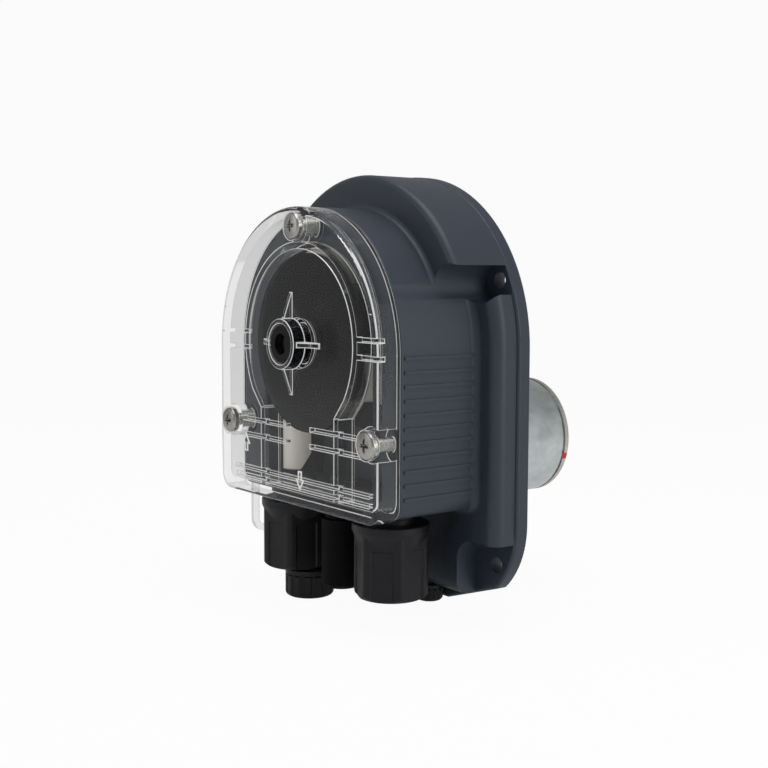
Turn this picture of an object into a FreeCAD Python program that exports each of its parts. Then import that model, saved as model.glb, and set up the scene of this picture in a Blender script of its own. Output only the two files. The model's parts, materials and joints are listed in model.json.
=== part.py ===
# Panel mounted peristaltic dosing pump.
# Frame: +Z up, the clear cover faces -Y, the panel lies behind the flange on the +Y side.
# Origin: centre of the four mounting holes, on the flange's back face.
# Depths are counted forward from the flange's back face, so a depth d lies at Y = -d.
# Heights are Z values in this frame.
import FreeCAD, Part
import math
import os
import Sketcher

V = FreeCAD.Vector
doc = FreeCAD.newDocument("DosingPump")
sheet = doc.addObject("Spreadsheet::Sheet", "Sizes")

# Driving dimensions, in millimetres unless a name says otherwise
SIZES = [
    # Housing outline
    ("head_radius", 45.0),
    ("arch_rise", 22.2),
    ("head_bottom", -26.5),
    ("head_corner", 4.0),
    ("shoulder", 9.0),
    ("flange_lift", 1.1),
    ("flange_bottom", -60.0),
    ("flange_corner", 29.0),
    ("foot_trim_x", 22.0),
    ("foot_trim_rise", 11.0),
    ("flange_thick", 4.5),
    ("flange_round", 1.0),
    ("rear_inset", 1.0),
    ("rear_foot_gap", 5.2),
    ("rear_corner", 4.0),
    ("rear_front", 12.6),
    ("rear_round", 4.0),
    ("upper_front", 25.2),
    ("upper_inset", 0.2),
    ("upper_round", 2.2),
    ("upper_step_round", 1.6),
    ("step_round", 2.4),
    ("head_front", 42.1),
    ("head_round", 0.8),
    # Mounting holes and the scoops round them
    ("bolt_inset", 9.0),
    ("bolt_z", 44.5),
    ("bolt_hole_radius", 2.6),
    ("trough_radius", 6.2),
    ("trough_drop", 1.2),
    ("corner_scoop", 18.5),
    ("pocket_top", -36.8),
    ("pocket_round", 6.0),
    ("bay_foot_half", 17.0),
    ("bay_foot_rise", 3.8),
    ("bay_round", 3.0),
    # Lines on the sides of the head
    ("line_count", 11),
    ("line_pitch", 4.2),
    ("line_top", 21.6),
    ("line_high", 1.0),
    ("line_proud", 0.45),
    ("line_front_gap", 1.4),
    ("line_back_gap", 1.6),
    # Pump chamber
    ("rotor_lift", 2.0),
    ("head_wall", 13.5),
    ("head_floor", 4.5),
    ("chamber_floor", 21.0),
    ("chamber_corner", 1.5),
    ("island_gap", 1.3),
    ("island_high", 13.0),
    ("island_front_gap", 3.0),
    ("seal_inset", 1.1),
    ("seal_width", 1.2),
    ("seal_deep", 1.0),
    ("seal_play", 0.06),
    # Gearbox room and its back plate
    ("inner_wall", 3.0),
    ("gearbox_wall", 5.0),
    ("gearbox_floor", 6.5),
    ("plate_margin", 6.0),
    ("plate_foot_margin", 13.6),
    ("plate_thick", 3.0),
    ("plate_gap", 0.15),
    ("plate_boss_front", 6.4),
    ("plate_boss_wall", 3.0),
    ("plate_blind_floor", 0.6),
    ("plate_screw_radius", 1.25),
    ("plate_screw_long", 8.0),
    ("plate_screw_head", 2.5),
    ("plate_screw_head_high", 1.5),
    ("plate_screw_sink", 1.6),
    ("plate_screw_degrees", 40.0),
    ("plate_screw_foot", 6.0),
    # Clear cover
    ("cover_high", 8.9),
    ("cover_drop", 1.1),
    ("cover_corner", 5.5),
    ("cover_wall", 2.6),
    ("cover_foot_wall", 3.8),
    ("cover_plate", 2.4),
    ("cover_round", 1.6),
    ("ring_inset", 0.5),
    ("ring_thick", 2.0),
    ("ring_open_drop", 16.3),
    ("leg_wall_inset", 9.8),
    ("ring_shoulder", 5.9),
    ("rib_thick", 1.3),
    ("rib_spread", 2.65),
    ("rib_deep", 2.0),
    ("low_rib_start", 7.0),
    ("low_rib_drop", 1.5),
    ("rail_rise", 8.3),
    ("rail_pitch", 2.9),
    ("rail_end_gap", 6.5),
    ("hub_radius", 8.0),
    ("hub_proud", 0.3),
    ("hub_back_gap", 0.6),
    ("gusset_reach", 16.1),
    ("gusset_thick", 1.5),
    ("gusset_drop", 1.0),
    ("gusset_tip", 0.3),
    # Cover screws
    ("screw_top_inset", 6.0),
    ("screw_low_z", -3.8),
    ("boss_radius", 5.4),
    ("screw_head_radius", 4.2),
    ("screw_head_high", 2.6),
    ("screw_head_sink", 2.0),
    ("screw_head_gap", 0.35),
    ("screw_radius", 2.0),
    ("screw_long", 16.0),
    ("cross_half", 0.45),
    # Rotor
    ("shaft_radius", 4.0),
    ("shaft_back", 0.8),
    ("shaft_chamfer", 0.5),
    ("shaft_proud", 2.5),
    ("nose_radius", 6.4),
    ("nose_proud", 4.0),
    ("nose_socket_radius", 3.3),
    ("nose_socket_deep", 5.0),
    ("nose_land", 2.4),
    ("nose_land_high", 0.3),
    ("nose_chamfer", 0.6),
    ("disc_edge_gap", 2.9),
    ("disc_thick", 2.4),
    ("rotor_floor_gap", 0.6),
    ("collar_long", 3.3),
    ("core_gap", 2.7),
    ("pin_hole_floor", 0.4),
    ("pin_end_gap", 0.1),
    ("roller_radius", 7.5),
    ("squeeze_gap", 0.3),
    ("roller_long", 15.6),
    ("roller_count", 3),
    ("roller_chamfer", 0.8),
    ("pin_radius", 2.5),
    ("pin_collar", 4.6),
    ("side_play", 0.3),
    ("rotor_screw_radius", 1.5),
    ("rotor_screw_long", 10.0),
    ("rotor_screw_head", 2.8),
    ("rotor_screw_head_high", 2.6),
    ("rotor_screw_socket", 1.2),
    # Bushes and seal on the output shaft
    ("bush_outer", 7.0),
    ("plate_bush_outer", 5.0),
    ("bush_long", 2.6),
    ("seal_long", 1.6),
    ("seal_gap", 0.2),
    ("bearing_boss_wall", 2.0),
    # Squeeze tube and ports
    ("tube_side_gap", 0.4),
    ("tube_radius", 4.8),
    ("tube_bore", 3.2),
    ("tube_flat_thick", 3.0),
    ("tube_flat_width", 13.4),
    ("tube_slit", 0.3),
    ("tube_flat_drop", 10.0),
    ("tube_change_long", 14.0),
    ("tube_end_gap", 1.6),
    ("barb_long", 12.4),
    ("port_radius", 6.6),
    ("adapter_flange_radius", 8.8),
    ("adapter_flange_thick", 2.2),
    ("adapter_thread_radius", 7.6),
    ("adapter_long", 19.5),
    ("adapter_bore", 2.3),
    ("barb_gap", 0.05),
    ("barb_nose", 0.9),
    ("barb_nose_high", 3.0),
    ("barb_chamfer", 0.6),
    ("ring_section", 0.5),
    ("ring_rise", 2.9),
    # Hose nuts
    ("nut_top_gap", 1.9),
    ("nut_long", 23.8),
    ("nut_collar_high", 1.9),
    ("nut_collar_radius", 12.4),
    ("nut_flat_radius", 10.6),
    ("nut_bevel", 5.6),
    ("nut_foot_round", 3.4),
    ("nut_foot_wall", 3.6),
    ("nut_bore", 4.2),
    ("nut_panel_half", 3.7),
    ("nut_panel_deep", 0.5),
    ("nut_turn_right", -22.0),
    ("nut_turn_left", 14.0),
    ("nut_chamfer", 0.8),
    ("collet_gap", 0.2),
    ("collet_top_inset", 1.0),
    ("collet_foot_inset", 0.4),
    # Offset adapter and small nut below the left hose nut
    ("small_offset_x", 4.0),
    ("small_offset_depth", 2.4),
    ("small_neck_radius", 3.0),
    ("small_neck_bore", 2.0),
    ("small_thread_radius", 5.6),
    ("small_top_gap", 0.5),
    ("small_disc_thick", 1.6),
    ("small_nut_radius", 8.4),
    ("small_nut_drop", 10.0),
    ("small_nut_bore", 3.2),
    ("small_nut_room", 5.2),
    ("small_stub_long", 5.0),
    ("small_way_radius", 1.2),
    ("small_socket_deep", 4.0),
    ("flute_count", 14),
    ("flute_radius", 0.8),
    ("flute_deep", 0.44),
    ("fluted_chamfer", 0.4),
    ("fluted_foot", 1.6),
    # Plug under the middle of the head
    ("plug_radius", 6.6),
    ("plug_long", 30.0),
    ("plug_chamfer", 1.4),
    ("plug_neck_radius", 5.4),
    ("plug_neck_high", 7.0),
    ("plug_spigot_radius", 4.0),
    ("plug_spigot_long", 6.0),
    ("plug_way_radius", 2.0),
    ("plug_way_wall", 2.0),
    # Cable glands
    ("gland_x", 19.1),
    ("gland_depth", 9.6),
    ("gland_thread_radius", 2.6),
    ("gland_thread_long", 3.2),
    ("gland_flange_thick", 1.2),
    ("gland_radius", 4.6),
    ("gland_drop", 5.6),
    ("gland_bore", 1.6),
    ("gland_wall", 0.6),
    ("gland_seal_high", 1.2),
    ("gland_floor", 1.4),
    ("gland_way_long", 10.0),
    # Loop below the head
    ("loop_inset", 3.8),
    ("loop_front_gap", 1.6),
    ("loop_back", 19.0),
    ("loop_drop", 17.8),
    ("loop_bar", 2.2),
    ("loop_round", 4.6),
    # Gear train
    ("gear_module", 0.8),
    ("tooth_tip", 0.78),
    ("tooth_root", 1.25),
    ("motor_rise", -12.0),
    ("motor_pinion_teeth", 12),
    ("idler_wheel_teeth", 44),
    ("idler_pinion_teeth", 14),
    ("output_gear_teeth", 54),
    ("tooth_play", 0.09),
    ("pinion_back", 5.6),
    ("pinion_end", 0.8),
    ("wheel_inset", 0.6),
    ("wheel_wide", 2.8),
    ("idler_pinion_long", 6.8),
    ("output_gap", 1.6),
    ("output_wide", 4.6),
    ("idler_boss_wall", 2.2),
    ("idler_boss_gap", 0.4),
    ("wheel_web_thick", 1.6),
    ("output_web_thick", 3.2),
    ("rim_wall", 2.2),
    ("gear_hub_wall", 3.5),
    ("axle_radius", 2.0),
    ("axle_seat_deep", 1.6),
    ("axle_end_gap", 0.1),
    # Motor
    ("motor_radius", 20.5),
    ("motor_long", 51.0),
    ("motor_groove", 1.0),
    ("motor_groove_deep", 0.8),
    ("motor_cap_long", 2.2),
    ("motor_wall", 1.4),
    ("motor_front_wall", 3.0),
    ("motor_shaft_radius", 1.6),
    ("motor_boss_radius", 5.0),
    ("motor_boss_long", 2.4),
    ("motor_bush_wall", 1.6),
    ("motor_edge", 1.0),
    ("cap_edge", 0.5),
    ("cap_boss_radius", 6.5),
    ("cap_boss_long", 1.2),
    ("cap_gap", 0.05),
    ("shaft_end_gap", 0.3),
    ("motor_screw_x", 12.5),
    ("motor_screw_radius", 1.5),
    ("motor_screw_long", 3.6),
    ("motor_screw_head", 2.7),
    ("motor_screw_head_high", 1.8),
    ("armature_front_gap", 6.0),
    ("armature_back_gap", 9.0),
    ("magnet_end_gap", 1.0),
    ("armature_radius", 12.0),
    ("magnet_gap", 0.6),
    ("terminal_x", 9.0),
    ("terminal_drop", 10.2),
    ("terminal_radius", 1.9),
    ("terminal_long", 2.4),
    ("terminal_tip", 1.5),
    ("tab_degrees", -17.0),
    ("tab_half", 1.1),
    ("tab_long", 1.6),
    # Clearances and overlaps used all over
    ("fit_gap", 0.04),
    ("run_gap", 0.06),
    ("screw_clear", 0.2),
    ("hole_spare", 0.5),
    ("past_face", 1.0),
    ("merge_depth", 0.5),
]

# Sizes and places that follow from the ones above
FOLLOWS = [
    ("flange_radius", "head_radius + shoulder + rear_inset"),
    ("flange_rise", "arch_rise + flange_lift"),
    ("rear_bottom", "flange_bottom + rear_foot_gap"),
    ("bolt_x", "flange_radius - bolt_inset"),
    ("leg_outer", "flange_radius - corner_scoop"),
    ("trough_z", "bolt_z - trough_drop"),
    ("upper_foot", "trough_z - trough_radius * (trough_z - arch_rise) / sqrt(bolt_x * bolt_x"
                   " + (trough_z - arch_rise) * (trough_z - arch_rise))"),
    ("bay_top_half", "head_radius - head_corner"),
    ("bay_foot", "rear_bottom + bay_foot_rise"),
    ("race_radius", "head_radius - head_wall"),
    ("rotor_rise", "arch_rise + rotor_lift"),
    ("chamber_bottom", "head_bottom + head_floor"),
    ("island_top", "chamber_bottom + island_high"),
    ("wall_back", "chamber_floor - inner_wall"),
    ("gearbox_radius", "head_radius - gearbox_wall"),
    ("gearbox_bottom", "head_bottom + gearbox_floor"),
    ("plate_screw_ring", "gearbox_radius + plate_margin / 2"),
    ("plate_screw_low_z", "gearbox_bottom + plate_screw_foot"),
    ("cover_front", "head_front + cover_high"),
    ("cover_bottom", "head_bottom - cover_drop"),
    ("ring_radius", "race_radius - ring_inset"),
    ("ring_open_z", "rotor_rise - ring_open_drop"),
    ("leg_wall_x", "ring_radius - leg_wall_inset"),
    ("leg_wall_z", "ring_open_z - ring_shoulder"),
    ("rail_z", "cover_bottom + rail_rise"),
    ("rail_half", "head_radius - rail_end_gap"),
    ("nose_front", "cover_front + nose_proud"),
    ("hub_front", "nose_front + hub_proud"),
    ("screw_top_z", "arch_rise + head_radius - screw_top_inset"),
    ("screw_low_x", "head_radius - boss_radius"),
    ("disc_radius", "race_radius - disc_edge_gap"),
    ("rear_disc_back", "chamber_floor + rotor_floor_gap"),
    ("roller_back", "rear_disc_back + disc_thick + side_play"),
    ("roller_front", "roller_back + roller_long"),
    ("front_disc_back", "roller_front + side_play + collar_long"),
    ("shaft_front", "front_disc_back + shaft_proud"),
    ("roller_orbit", "race_radius - tube_flat_thick - roller_radius - squeeze_gap"),
    ("core_radius", "roller_orbit - roller_radius - core_gap"),
    ("seal_front", "chamber_floor - seal_gap"),
    ("seal_back", "seal_front - seal_long"),
    ("bush_front", "seal_back - seal_gap"),
    ("bush_back", "bush_front - bush_long"),
    ("tube_depth", "roller_back + tube_side_gap + tube_flat_width / 2"),
    ("tube_flat_end", "rotor_rise - tube_flat_drop"),
    ("tube_round_start", "tube_flat_end - tube_change_long"),
    ("tube_end", "chamber_bottom + tube_end_gap"),
    ("barb_top", "tube_end + barb_long"),
    ("adapter_foot", "head_bottom - adapter_long"),
    ("ring_height", "head_bottom + ring_rise"),
    ("nut_top", "head_bottom - adapter_flange_thick - nut_top_gap"),
    ("nut_bottom", "nut_top - nut_long"),
    ("small_nut_bottom", "nut_bottom - small_nut_drop"),
    ("plug_bottom", "head_bottom - plug_long"),
    ("gland_bottom", "rear_bottom - gland_drop"),
    ("loop_x", "head_radius - loop_inset"),
    ("loop_front", "head_front - loop_front_gap"),
    ("loop_bottom", "head_bottom - loop_drop"),
    ("wheel_back", "pinion_back + wheel_inset"),
    ("wheel_front", "wheel_back + wheel_wide"),
    ("pinion_front", "wheel_front + pinion_end"),
    ("idler_front", "wheel_front + idler_pinion_long"),
    ("output_back", "wheel_front + output_gap"),
    ("output_front", "output_back + output_wide"),
    ("idler_boss_back", "plate_thick + idler_boss_gap"),
]
NAMES = [alias for alias, _ in SIZES + FOLLOWS]
for row, (alias, content) in enumerate(SIZES + FOLLOWS, start=1):
    sheet.set(f"A{row}", alias)
    sheet.setAlias(f"B{row}", alias)
    sheet.set(f"B{row}", f"={content}" if isinstance(content, str) else str(content))
doc.recompute()


def value(alias):
    return float(getattr(sheet, alias))


# Helpers for bodies and sketches
def new_body(label):
    body = doc.addObject("PartDesign::Body", label + "_body")
    body.Label = label
    return body


def cells(text):
    """Turn bare alias words into references to the sheet."""
    out, i = "", 0
    while i < len(text):
        if text[i].isalpha():
            j = i
            while j < len(text) and (text[j].isalnum() or text[j] == "_"):
                j += 1
            word = text[i:j]
            out += f"Sizes.{word}" if word in NAMES else word
            i = j
        else:
            out += text[i]
            i += 1
    return out


def number(text):
    """The present value of an expression made of aliases and plain numbers."""
    probe = doc.getObject("Probe") or doc.addObject("App::FeaturePython", "Probe")
    if not hasattr(probe, "Result"):
        probe.addProperty("App::PropertyFloat", "Result")
    probe.setExpression("Result", cells(str(text)))
    probe.recompute()
    return float(probe.Result)


def new_sketch(body, name, role, offset="0"):
    sketch = body.newObject("Sketcher::SketchObject", name)
    plane = [item for item in body.Origin.OriginFeatures if item.Role == role][0]
    sketch.AttachmentSupport = [(plane, "")]
    sketch.MapMode = "FlatFace"
    sketch.setExpression("AttachmentOffset.Base.z", cells(offset))
    return sketch


def bind(sketch, constraint, text):
    index = sketch.addConstraint(constraint)
    sketch.setExpression(f"Constraints[{index}]", cells(str(text)))


def pin_point(sketch, geo, pos, x, z):
    bind(sketch, Sketcher.Constraint("DistanceX", -1, 1, geo, pos, number(x)), x)
    bind(sketch, Sketcher.Constraint("DistanceY", -1, 1, geo, pos, number(z)), z)


def add_polygon(sketch, points):
    """Closed straight outline; each corner is tied to its own two expressions."""
    spots = [V(number(x), number(z), 0) for x, z in points]
    first = sketch.GeometryCount
    count = len(points)
    for k in range(count):
        sketch.addGeometry(Part.LineSegment(spots[k], spots[(k + 1) % count]))
    for k in range(count):
        after = first + (k + 1) % count
        sketch.addConstraint(Sketcher.Constraint("Coincident", first + k, 2, after, 1))
    for k, (x, z) in enumerate(points):
        pin_point(sketch, first + k, 1, x, z)


def add_circle(sketch, x, z, radius):
    geo = sketch.addGeometry(Part.Circle(V(number(x), number(z), 0), V(0, 0, 1), number(radius)))
    bind(sketch, Sketcher.Constraint("Radius", geo, number(radius)), radius)
    pin_point(sketch, geo, 3, x, z)


def add_arch(sketch, radius, rise, bottom, corner):
    """Half round top, straight sides, flat foot with two rounded corners."""
    r, zc, zb, rc = number(radius), number(rise), number(bottom), number(corner)
    pi = math.pi

    def arc(x, z, rr, a, b):
        return Part.ArcOfCircle(Part.Circle(V(x, z, 0), V(0, 0, 1), rr), a, b)
    first = sketch.GeometryCount
    sketch.addGeometry(arc(0, zc, r, 0, pi))
    sketch.addGeometry(Part.LineSegment(V(-r, zc, 0), V(-r, zb + rc, 0)))
    sketch.addGeometry(arc(-r + rc, zb + rc, rc, pi, 1.5 * pi))
    sketch.addGeometry(Part.LineSegment(V(-r + rc, zb, 0), V(r - rc, zb, 0)))
    sketch.addGeometry(arc(r - rc, zb + rc, rc, 1.5 * pi, 2 * pi))
    sketch.addGeometry(Part.LineSegment(V(r, zb + rc, 0), V(r, zc, 0)))
    for k in range(6):
        after = first + (k + 1) % 6
        sketch.addConstraint(Sketcher.Constraint("Tangent", first + k, 2, after, 1))
    for kind, geo in (("Vertical", 1), ("Vertical", 5), ("Horizontal", 3)):
        sketch.addConstraint(Sketcher.Constraint(kind, first + geo))
    sketch.addConstraint(Sketcher.Constraint("Equal", first + 2, first + 4))
    pin_point(sketch, first, 3, "0", rise)
    bind(sketch, Sketcher.Constraint("Radius", first, r), radius)
    bind(sketch, Sketcher.Constraint("Radius", first + 2, rc), corner)
    bind(sketch, Sketcher.Constraint("DistanceY", -1, 1, first + 3, 1, zb), bottom)


def add_segment(sketch, radius, rise, cut):
    """The part of a round outline that lies above a level cut."""
    r, zc, low = number(radius), number(rise), number(cut)
    start = math.asin((low - zc) / r)
    half = r * math.cos(start)
    arc = sketch.addGeometry(Part.ArcOfCircle(Part.Circle(V(0, zc, 0), V(0, 0, 1), r),
                                              start, math.pi - start))
    chord = sketch.addGeometry(Part.LineSegment(V(-half, low, 0), V(half, low, 0)))
    sketch.addConstraint(Sketcher.Constraint("Coincident", arc, 2, chord, 1))
    sketch.addConstraint(Sketcher.Constraint("Coincident", chord, 2, arc, 1))
    sketch.addConstraint(Sketcher.Constraint("Horizontal", chord))
    pin_point(sketch, arc, 3, "0", rise)
    bind(sketch, Sketcher.Constraint("Radius", arc, r), radius)
    bind(sketch, Sketcher.Constraint("DistanceY", -1, 1, chord, 1, low), cut)


def extrude(body, kind, sketch, length, backward=False, name=None):
    """kind Pad adds material in front of the sketch plane, kind Pocket cuts behind it."""
    feature = body.newObject("PartDesign::" + kind, name or sketch.Name + "_" + kind.lower())
    feature.Profile = sketch
    feature.setExpression("Length", cells(str(length)))
    feature.Reversed = backward
    sketch.Visibility = False
    body.Tip = feature
    doc.recompute()
    return feature


def arch_step(body, kind, name, at, radius, rise, bottom, corner, length, backward=False):
    sketch = new_sketch(body, name, "XZ_Plane", at)
    add_arch(sketch, radius, rise, bottom, corner)
    return extrude(body, kind, sketch, length, backward)


def circle_step(body, kind, name, at, circles, length, backward=False):
    sketch = new_sketch(body, name, "XZ_Plane", at)
    for x, z, radius in circles:
        add_circle(sketch, x, z, radius)
    return extrude(body, kind, sketch, length, backward)


def polygon_step(body, kind, name, at, outlines, length, backward=False):
    sketch = new_sketch(body, name, "XZ_Plane", at)
    for points in outlines:
        add_polygon(sketch, points)
    return extrude(body, kind, sketch, length, backward)


def box_points(x1, z1, x2, z2):
    return [(x1, z1), (x2, z1), (x2, z2), (x1, z2)]


def mirrored(points):
    return [(f"-({x})", z) for x, z in reversed(points)]


def round_edges(body, radius, keep, kind="Fillet"):
    """Round the edges of the tip for which keep(edge) holds."""
    base = body.Tip
    names = [f"Edge{k + 1}" for k, edge in enumerate(base.Shape.Edges) if keep(edge)]
    if not names:
        raise ValueError(f"no edge to round on {body.Label}")
    feature = body.newObject("PartDesign::" + kind, f"{body.Label}_{kind.lower()}_{base.Name}")
    feature.Base = (base, names)
    feature.setExpression("Radius" if kind == "Fillet" else "Size", cells(str(radius)))
    body.Tip = feature
    doc.recompute()
    return feature


def flat_at(edge, depth, tolerance=0.01):
    """True when the whole edge lies at one depth."""
    box = edge.BoundBox
    return abs(box.YMin + depth) < tolerance and abs(box.YMax + depth) < tolerance


def turn_profile(body, name, points, axis="Y"):
    """Revolve a closed profile. axis Y: points are (radius, depth); axis Z: (radius, height)."""
    if axis == "Y":
        sketch = new_sketch(body, name, "XY_Plane")
        add_polygon(sketch, [(r, f"-({d})") for r, d in points])
    else:
        sketch = new_sketch(body, name, "XZ_Plane")
        add_polygon(sketch, points)
    feature = body.newObject("PartDesign::Revolution", name + "_turn")
    feature.Profile = sketch
    feature.ReferenceAxis = (sketch, ["V_Axis"])
    feature.Angle = 360
    sketch.Visibility = False
    body.Tip = feature
    doc.recompute()
    return feature


def place(item, x="0", depth="0", z="0"):
    item.setExpression("Placement.Base.x", cells(x))
    item.setExpression("Placement.Base.y", cells(f"-({depth})"))
    item.setExpression("Placement.Base.z", cells(z))


def feature_of(label, shape):
    item = doc.addObject("Part::Feature", label + "_solid")
    item.Label = label
    item.Shape = shape
    return item


PARTS = []


def keep(item):
    PARTS.append(item)
    return item


CHAMBER = ("race_radius", "rotor_rise", "chamber_bottom", "chamber_corner")
GEARBOX = ("gearbox_radius", "arch_rise", "gearbox_bottom", "chamber_corner")
COVER_SCREWS = [("0", "screw_top_z"), ("screw_low_x", "screw_low_z"), ("-screw_low_x", "screw_low_z")]
PLATE_SCREWS = [(side + "plate_screw_ring * cos(plate_screw_degrees)",
                 "arch_rise + plate_screw_ring * sin(plate_screw_degrees)") for side in ("", "-")]
PLATE_SCREWS += [(side + "plate_screw_ring", "plate_screw_low_z") for side in ("", "-")]
SIDES = (("right", ""), ("left", "-"))
MOTOR_SCREWS = [(sign + "motor_screw_x", "motor_rise") for _, sign in SIDES]
PORT_X = "(race_radius - tube_radius)"
SCREW_SEAT = "(nose_front - nose_socket_deep)"
GLAND_FLANGE = "(rear_bottom - gland_flange_thick)"


# Housing
def make_housing():
    body = new_body("main_housing")
    arch_step(body, "Pad", "flange_outline", "0", "flange_radius", "flange_rise", "flange_bottom",
              "flange_corner", "flange_thick")
    below, beyond = "flange_bottom - past_face", "flange_radius + past_face"
    trim = [("foot_trim_x", "flange_bottom"), ("foot_trim_x", below), (beyond, below),
            (beyond, "flange_bottom + foot_trim_rise")]
    polygon_step(body, "Pocket", "foot_trims", "flange_thick", [trim, mirrored(trim)], "flange_thick")
    round_edges(body, "flange_round", lambda e: flat_at(e, value("flange_thick")))
    arch_step(body, "Pad", "rear_outline", "flange_thick", "flange_radius - rear_inset", "flange_rise",
              "rear_bottom", "rear_corner", "rear_front - flange_thick")
    round_edges(body, "rear_round", lambda e: flat_at(e, value("rear_front")))
    arch_step(body, "Pad", "head_outline", "rear_front", "head_radius", "arch_rise", "head_bottom",
              "head_corner", "head_front - rear_front")
    half = value("head_radius")

    def on_step(edge):
        box = edge.BoundBox
        inside = box.XMax < half + 0.5 and box.XMin > -half - 0.5
        return flat_at(edge, value("rear_front")) and inside
    round_edges(body, "step_round", on_step)
    round_edges(body, "head_round", lambda e: flat_at(e, value("head_front")))

    # Deeper block over the top, which ends at the bolt troughs
    upper = "flange_radius - upper_inset"
    sketch = new_sketch(body, "upper_outline", "XZ_Plane", "flange_thick - merge_depth")
    add_segment(sketch, upper, "flange_rise", "upper_foot")
    extrude(body, "Pad", sketch, "upper_front - flange_thick + merge_depth")
    round_edges(body, "upper_step_round", arch_at("upper_front", "arch_rise + head_radius"))
    round_edges(body, "upper_round", arch_at("upper_front", "flange_rise + " + upper))

    # Screw troughs at the top, scooped corners at the bottom and the cable bay between the legs
    circle_step(body, "Pocket", "troughs", "head_front",
                [("bolt_x", "trough_z", "trough_radius"), ("-bolt_x", "trough_z", "trough_radius")],
                "head_front - flange_thick")
    corner = box_points("leg_outer", "rear_bottom - past_face", "flange_radius + past_face", "pocket_top")
    polygon_step(body, "Pocket", "corners", "rear_front", [corner, mirrored(corner)],
                 "rear_front - flange_thick")
    leg, top = value("leg_outer"), value("pocket_top")

    def inner_corner(edge):
        box = edge.BoundBox
        return (abs(abs(box.XMin) - leg) < 0.01 and abs(box.XMax - box.XMin) < 0.01
                and abs(box.ZMin - top) < 0.01 and abs(box.ZMax - top) < 0.01)
    round_edges(body, "pocket_round", inner_corner)
    bay = [("bay_top_half", "head_bottom"), ("bay_foot_half", "bay_foot"),
           ("-bay_foot_half", "bay_foot"), ("-bay_top_half", "head_bottom")]
    polygon_step(body, "Pocket", "bay", "rear_front", [bay], "rear_front - flange_thick")

    # Pump chamber with the tube race, the island between the tube legs, the seal groove
    arch_step(body, "Pocket", "chamber", "head_front", *CHAMBER, "head_front - chamber_floor")
    inner = "(race_radius - 2 * tube_radius - island_gap)"
    island = box_points("-" + inner, "chamber_bottom - past_face", inner, "island_top")
    polygon_step(body, "Pad", "island", "chamber_floor - past_face", [island],
                 "head_front - chamber_floor - island_front_gap + past_face")
    seal_step(body, "Pocket", "seal_groove", "head_front", "0", "seal_deep")

    # Gearbox room and plate seat, open to the back
    arch_step(body, "Pocket", "gearbox_room", "0", *GEARBOX, "wall_back", backward=True)
    arch_step(body, "Pocket", "plate_seat", "0", "gearbox_radius + plate_margin", "arch_rise",
              "gearbox_bottom - plate_foot_margin", "chamber_corner + plate_foot_margin",
              "plate_thick", backward=True)

    # Bearing boss and bore, idler axle seat
    circle_step(body, "Pad", "bearing_boss", "bush_back",
                [("0", "rotor_rise", "bush_outer + bearing_boss_wall")],
                "wall_back - bush_back + past_face")
    circle_step(body, "Pocket", "bearing_bore", "chamber_floor + past_face",
                [("0", "rotor_rise", "bush_outer + fit_gap")],
                "chamber_floor - bush_back + 2 * past_face")
    circle_step(body, "Pocket", "axle_seat", "wall_back - past_face",
                [(str(IDLER_X), str(IDLER_Z), "axle_radius + fit_gap")],
                "past_face + axle_seat_deep", backward=True)

    # Mounting holes, cover screw holes, plate screw holes
    holes = [(x, z, "bolt_hole_radius") for x in ("bolt_x", "-bolt_x") for z in ("bolt_z", "-bolt_z")]
    circle_step(body, "Pocket", "bolt_holes", "flange_thick + past_face", holes,
                "flange_thick + 2 * past_face")
    circle_step(body, "Pocket", "cover_screw_holes", "head_front + past_face",
                [(x, z, "screw_radius + fit_gap") for x, z in COVER_SCREWS],
                "past_face + head_front - cover_front + screw_head_sink + screw_long + hole_spare")
    circle_step(body, "Pocket", "plate_screw_holes", "plate_screw_sink",
                [(x, z, "plate_screw_radius + fit_gap") for x, z in PLATE_SCREWS],
                "plate_screw_long + hole_spare", backward=True)

    # Hose ports through the floor of the head, gland seats in the foot of the rear body
    bottom_hole(body, "plug_seat", "0", "tube_depth", "head_bottom", "plug_spigot_radius + fit_gap",
                "plug_spigot_long + hole_spare")
    for tag, sign in SIDES:
        bottom_hole(body, "port_" + tag, sign + PORT_X, "tube_depth", "head_bottom",
                    "port_radius + fit_gap", "tube_end - head_bottom")
        bottom_hole(body, "gland_seat_" + tag, sign + "gland_x", "gland_depth", "rear_bottom",
                    "gland_thread_radius + fit_gap", "gland_thread_long")
        bottom_hole(body, "gland_way_" + tag, sign + "gland_x", "gland_depth", "rear_bottom",
                    "gland_bore", "gland_way_long")

    # Raised lines on both sides of the head
    first = polygon_step(body, "Pad", "side_line", "rear_front + line_back_gap", [
        box_points("head_radius - merge_depth", "line_top - line_high / 2",
                   "head_radius + line_proud", "line_top + line_high / 2")],
        "head_front - rear_front - line_back_gap - line_front_gap")
    rows = body.newObject("PartDesign::LinearPattern", "side_lines")
    rows.Originals = [first]
    rows.Direction = (axis_of(body, "Z_Axis"), [""])
    rows.Reversed = True
    rows.setExpression("Length", cells("line_pitch * (line_count - 1)"))
    rows.setExpression("Occurrences", cells("line_count"))
    body.Tip = rows
    doc.recompute()
    other = body.newObject("PartDesign::Mirrored", "side_lines_left")
    other.Originals = [first]
    other.MirrorPlane = (axis_of(body, "YZ_Plane"), [""])
    body.Tip = other
    doc.recompute()
    return body


def arch_at(depth, top):
    """Picks the edges at one depth that reach a given height."""
    high = number(top)
    return lambda edge: flat_at(edge, value(depth)) and abs(edge.BoundBox.ZMax - high) < 0.1


def bottom_hole(body, name, x, depth, face, radius, deep):
    """Round hole bored upward from a face that looks down."""
    sketch = new_sketch(body, name, "XY_Plane", face + " - past_face")
    add_circle(sketch, x, f"-({depth})", radius)
    return extrude(body, "Pocket", sketch, f"past_face + {deep}", backward=True)


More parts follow.
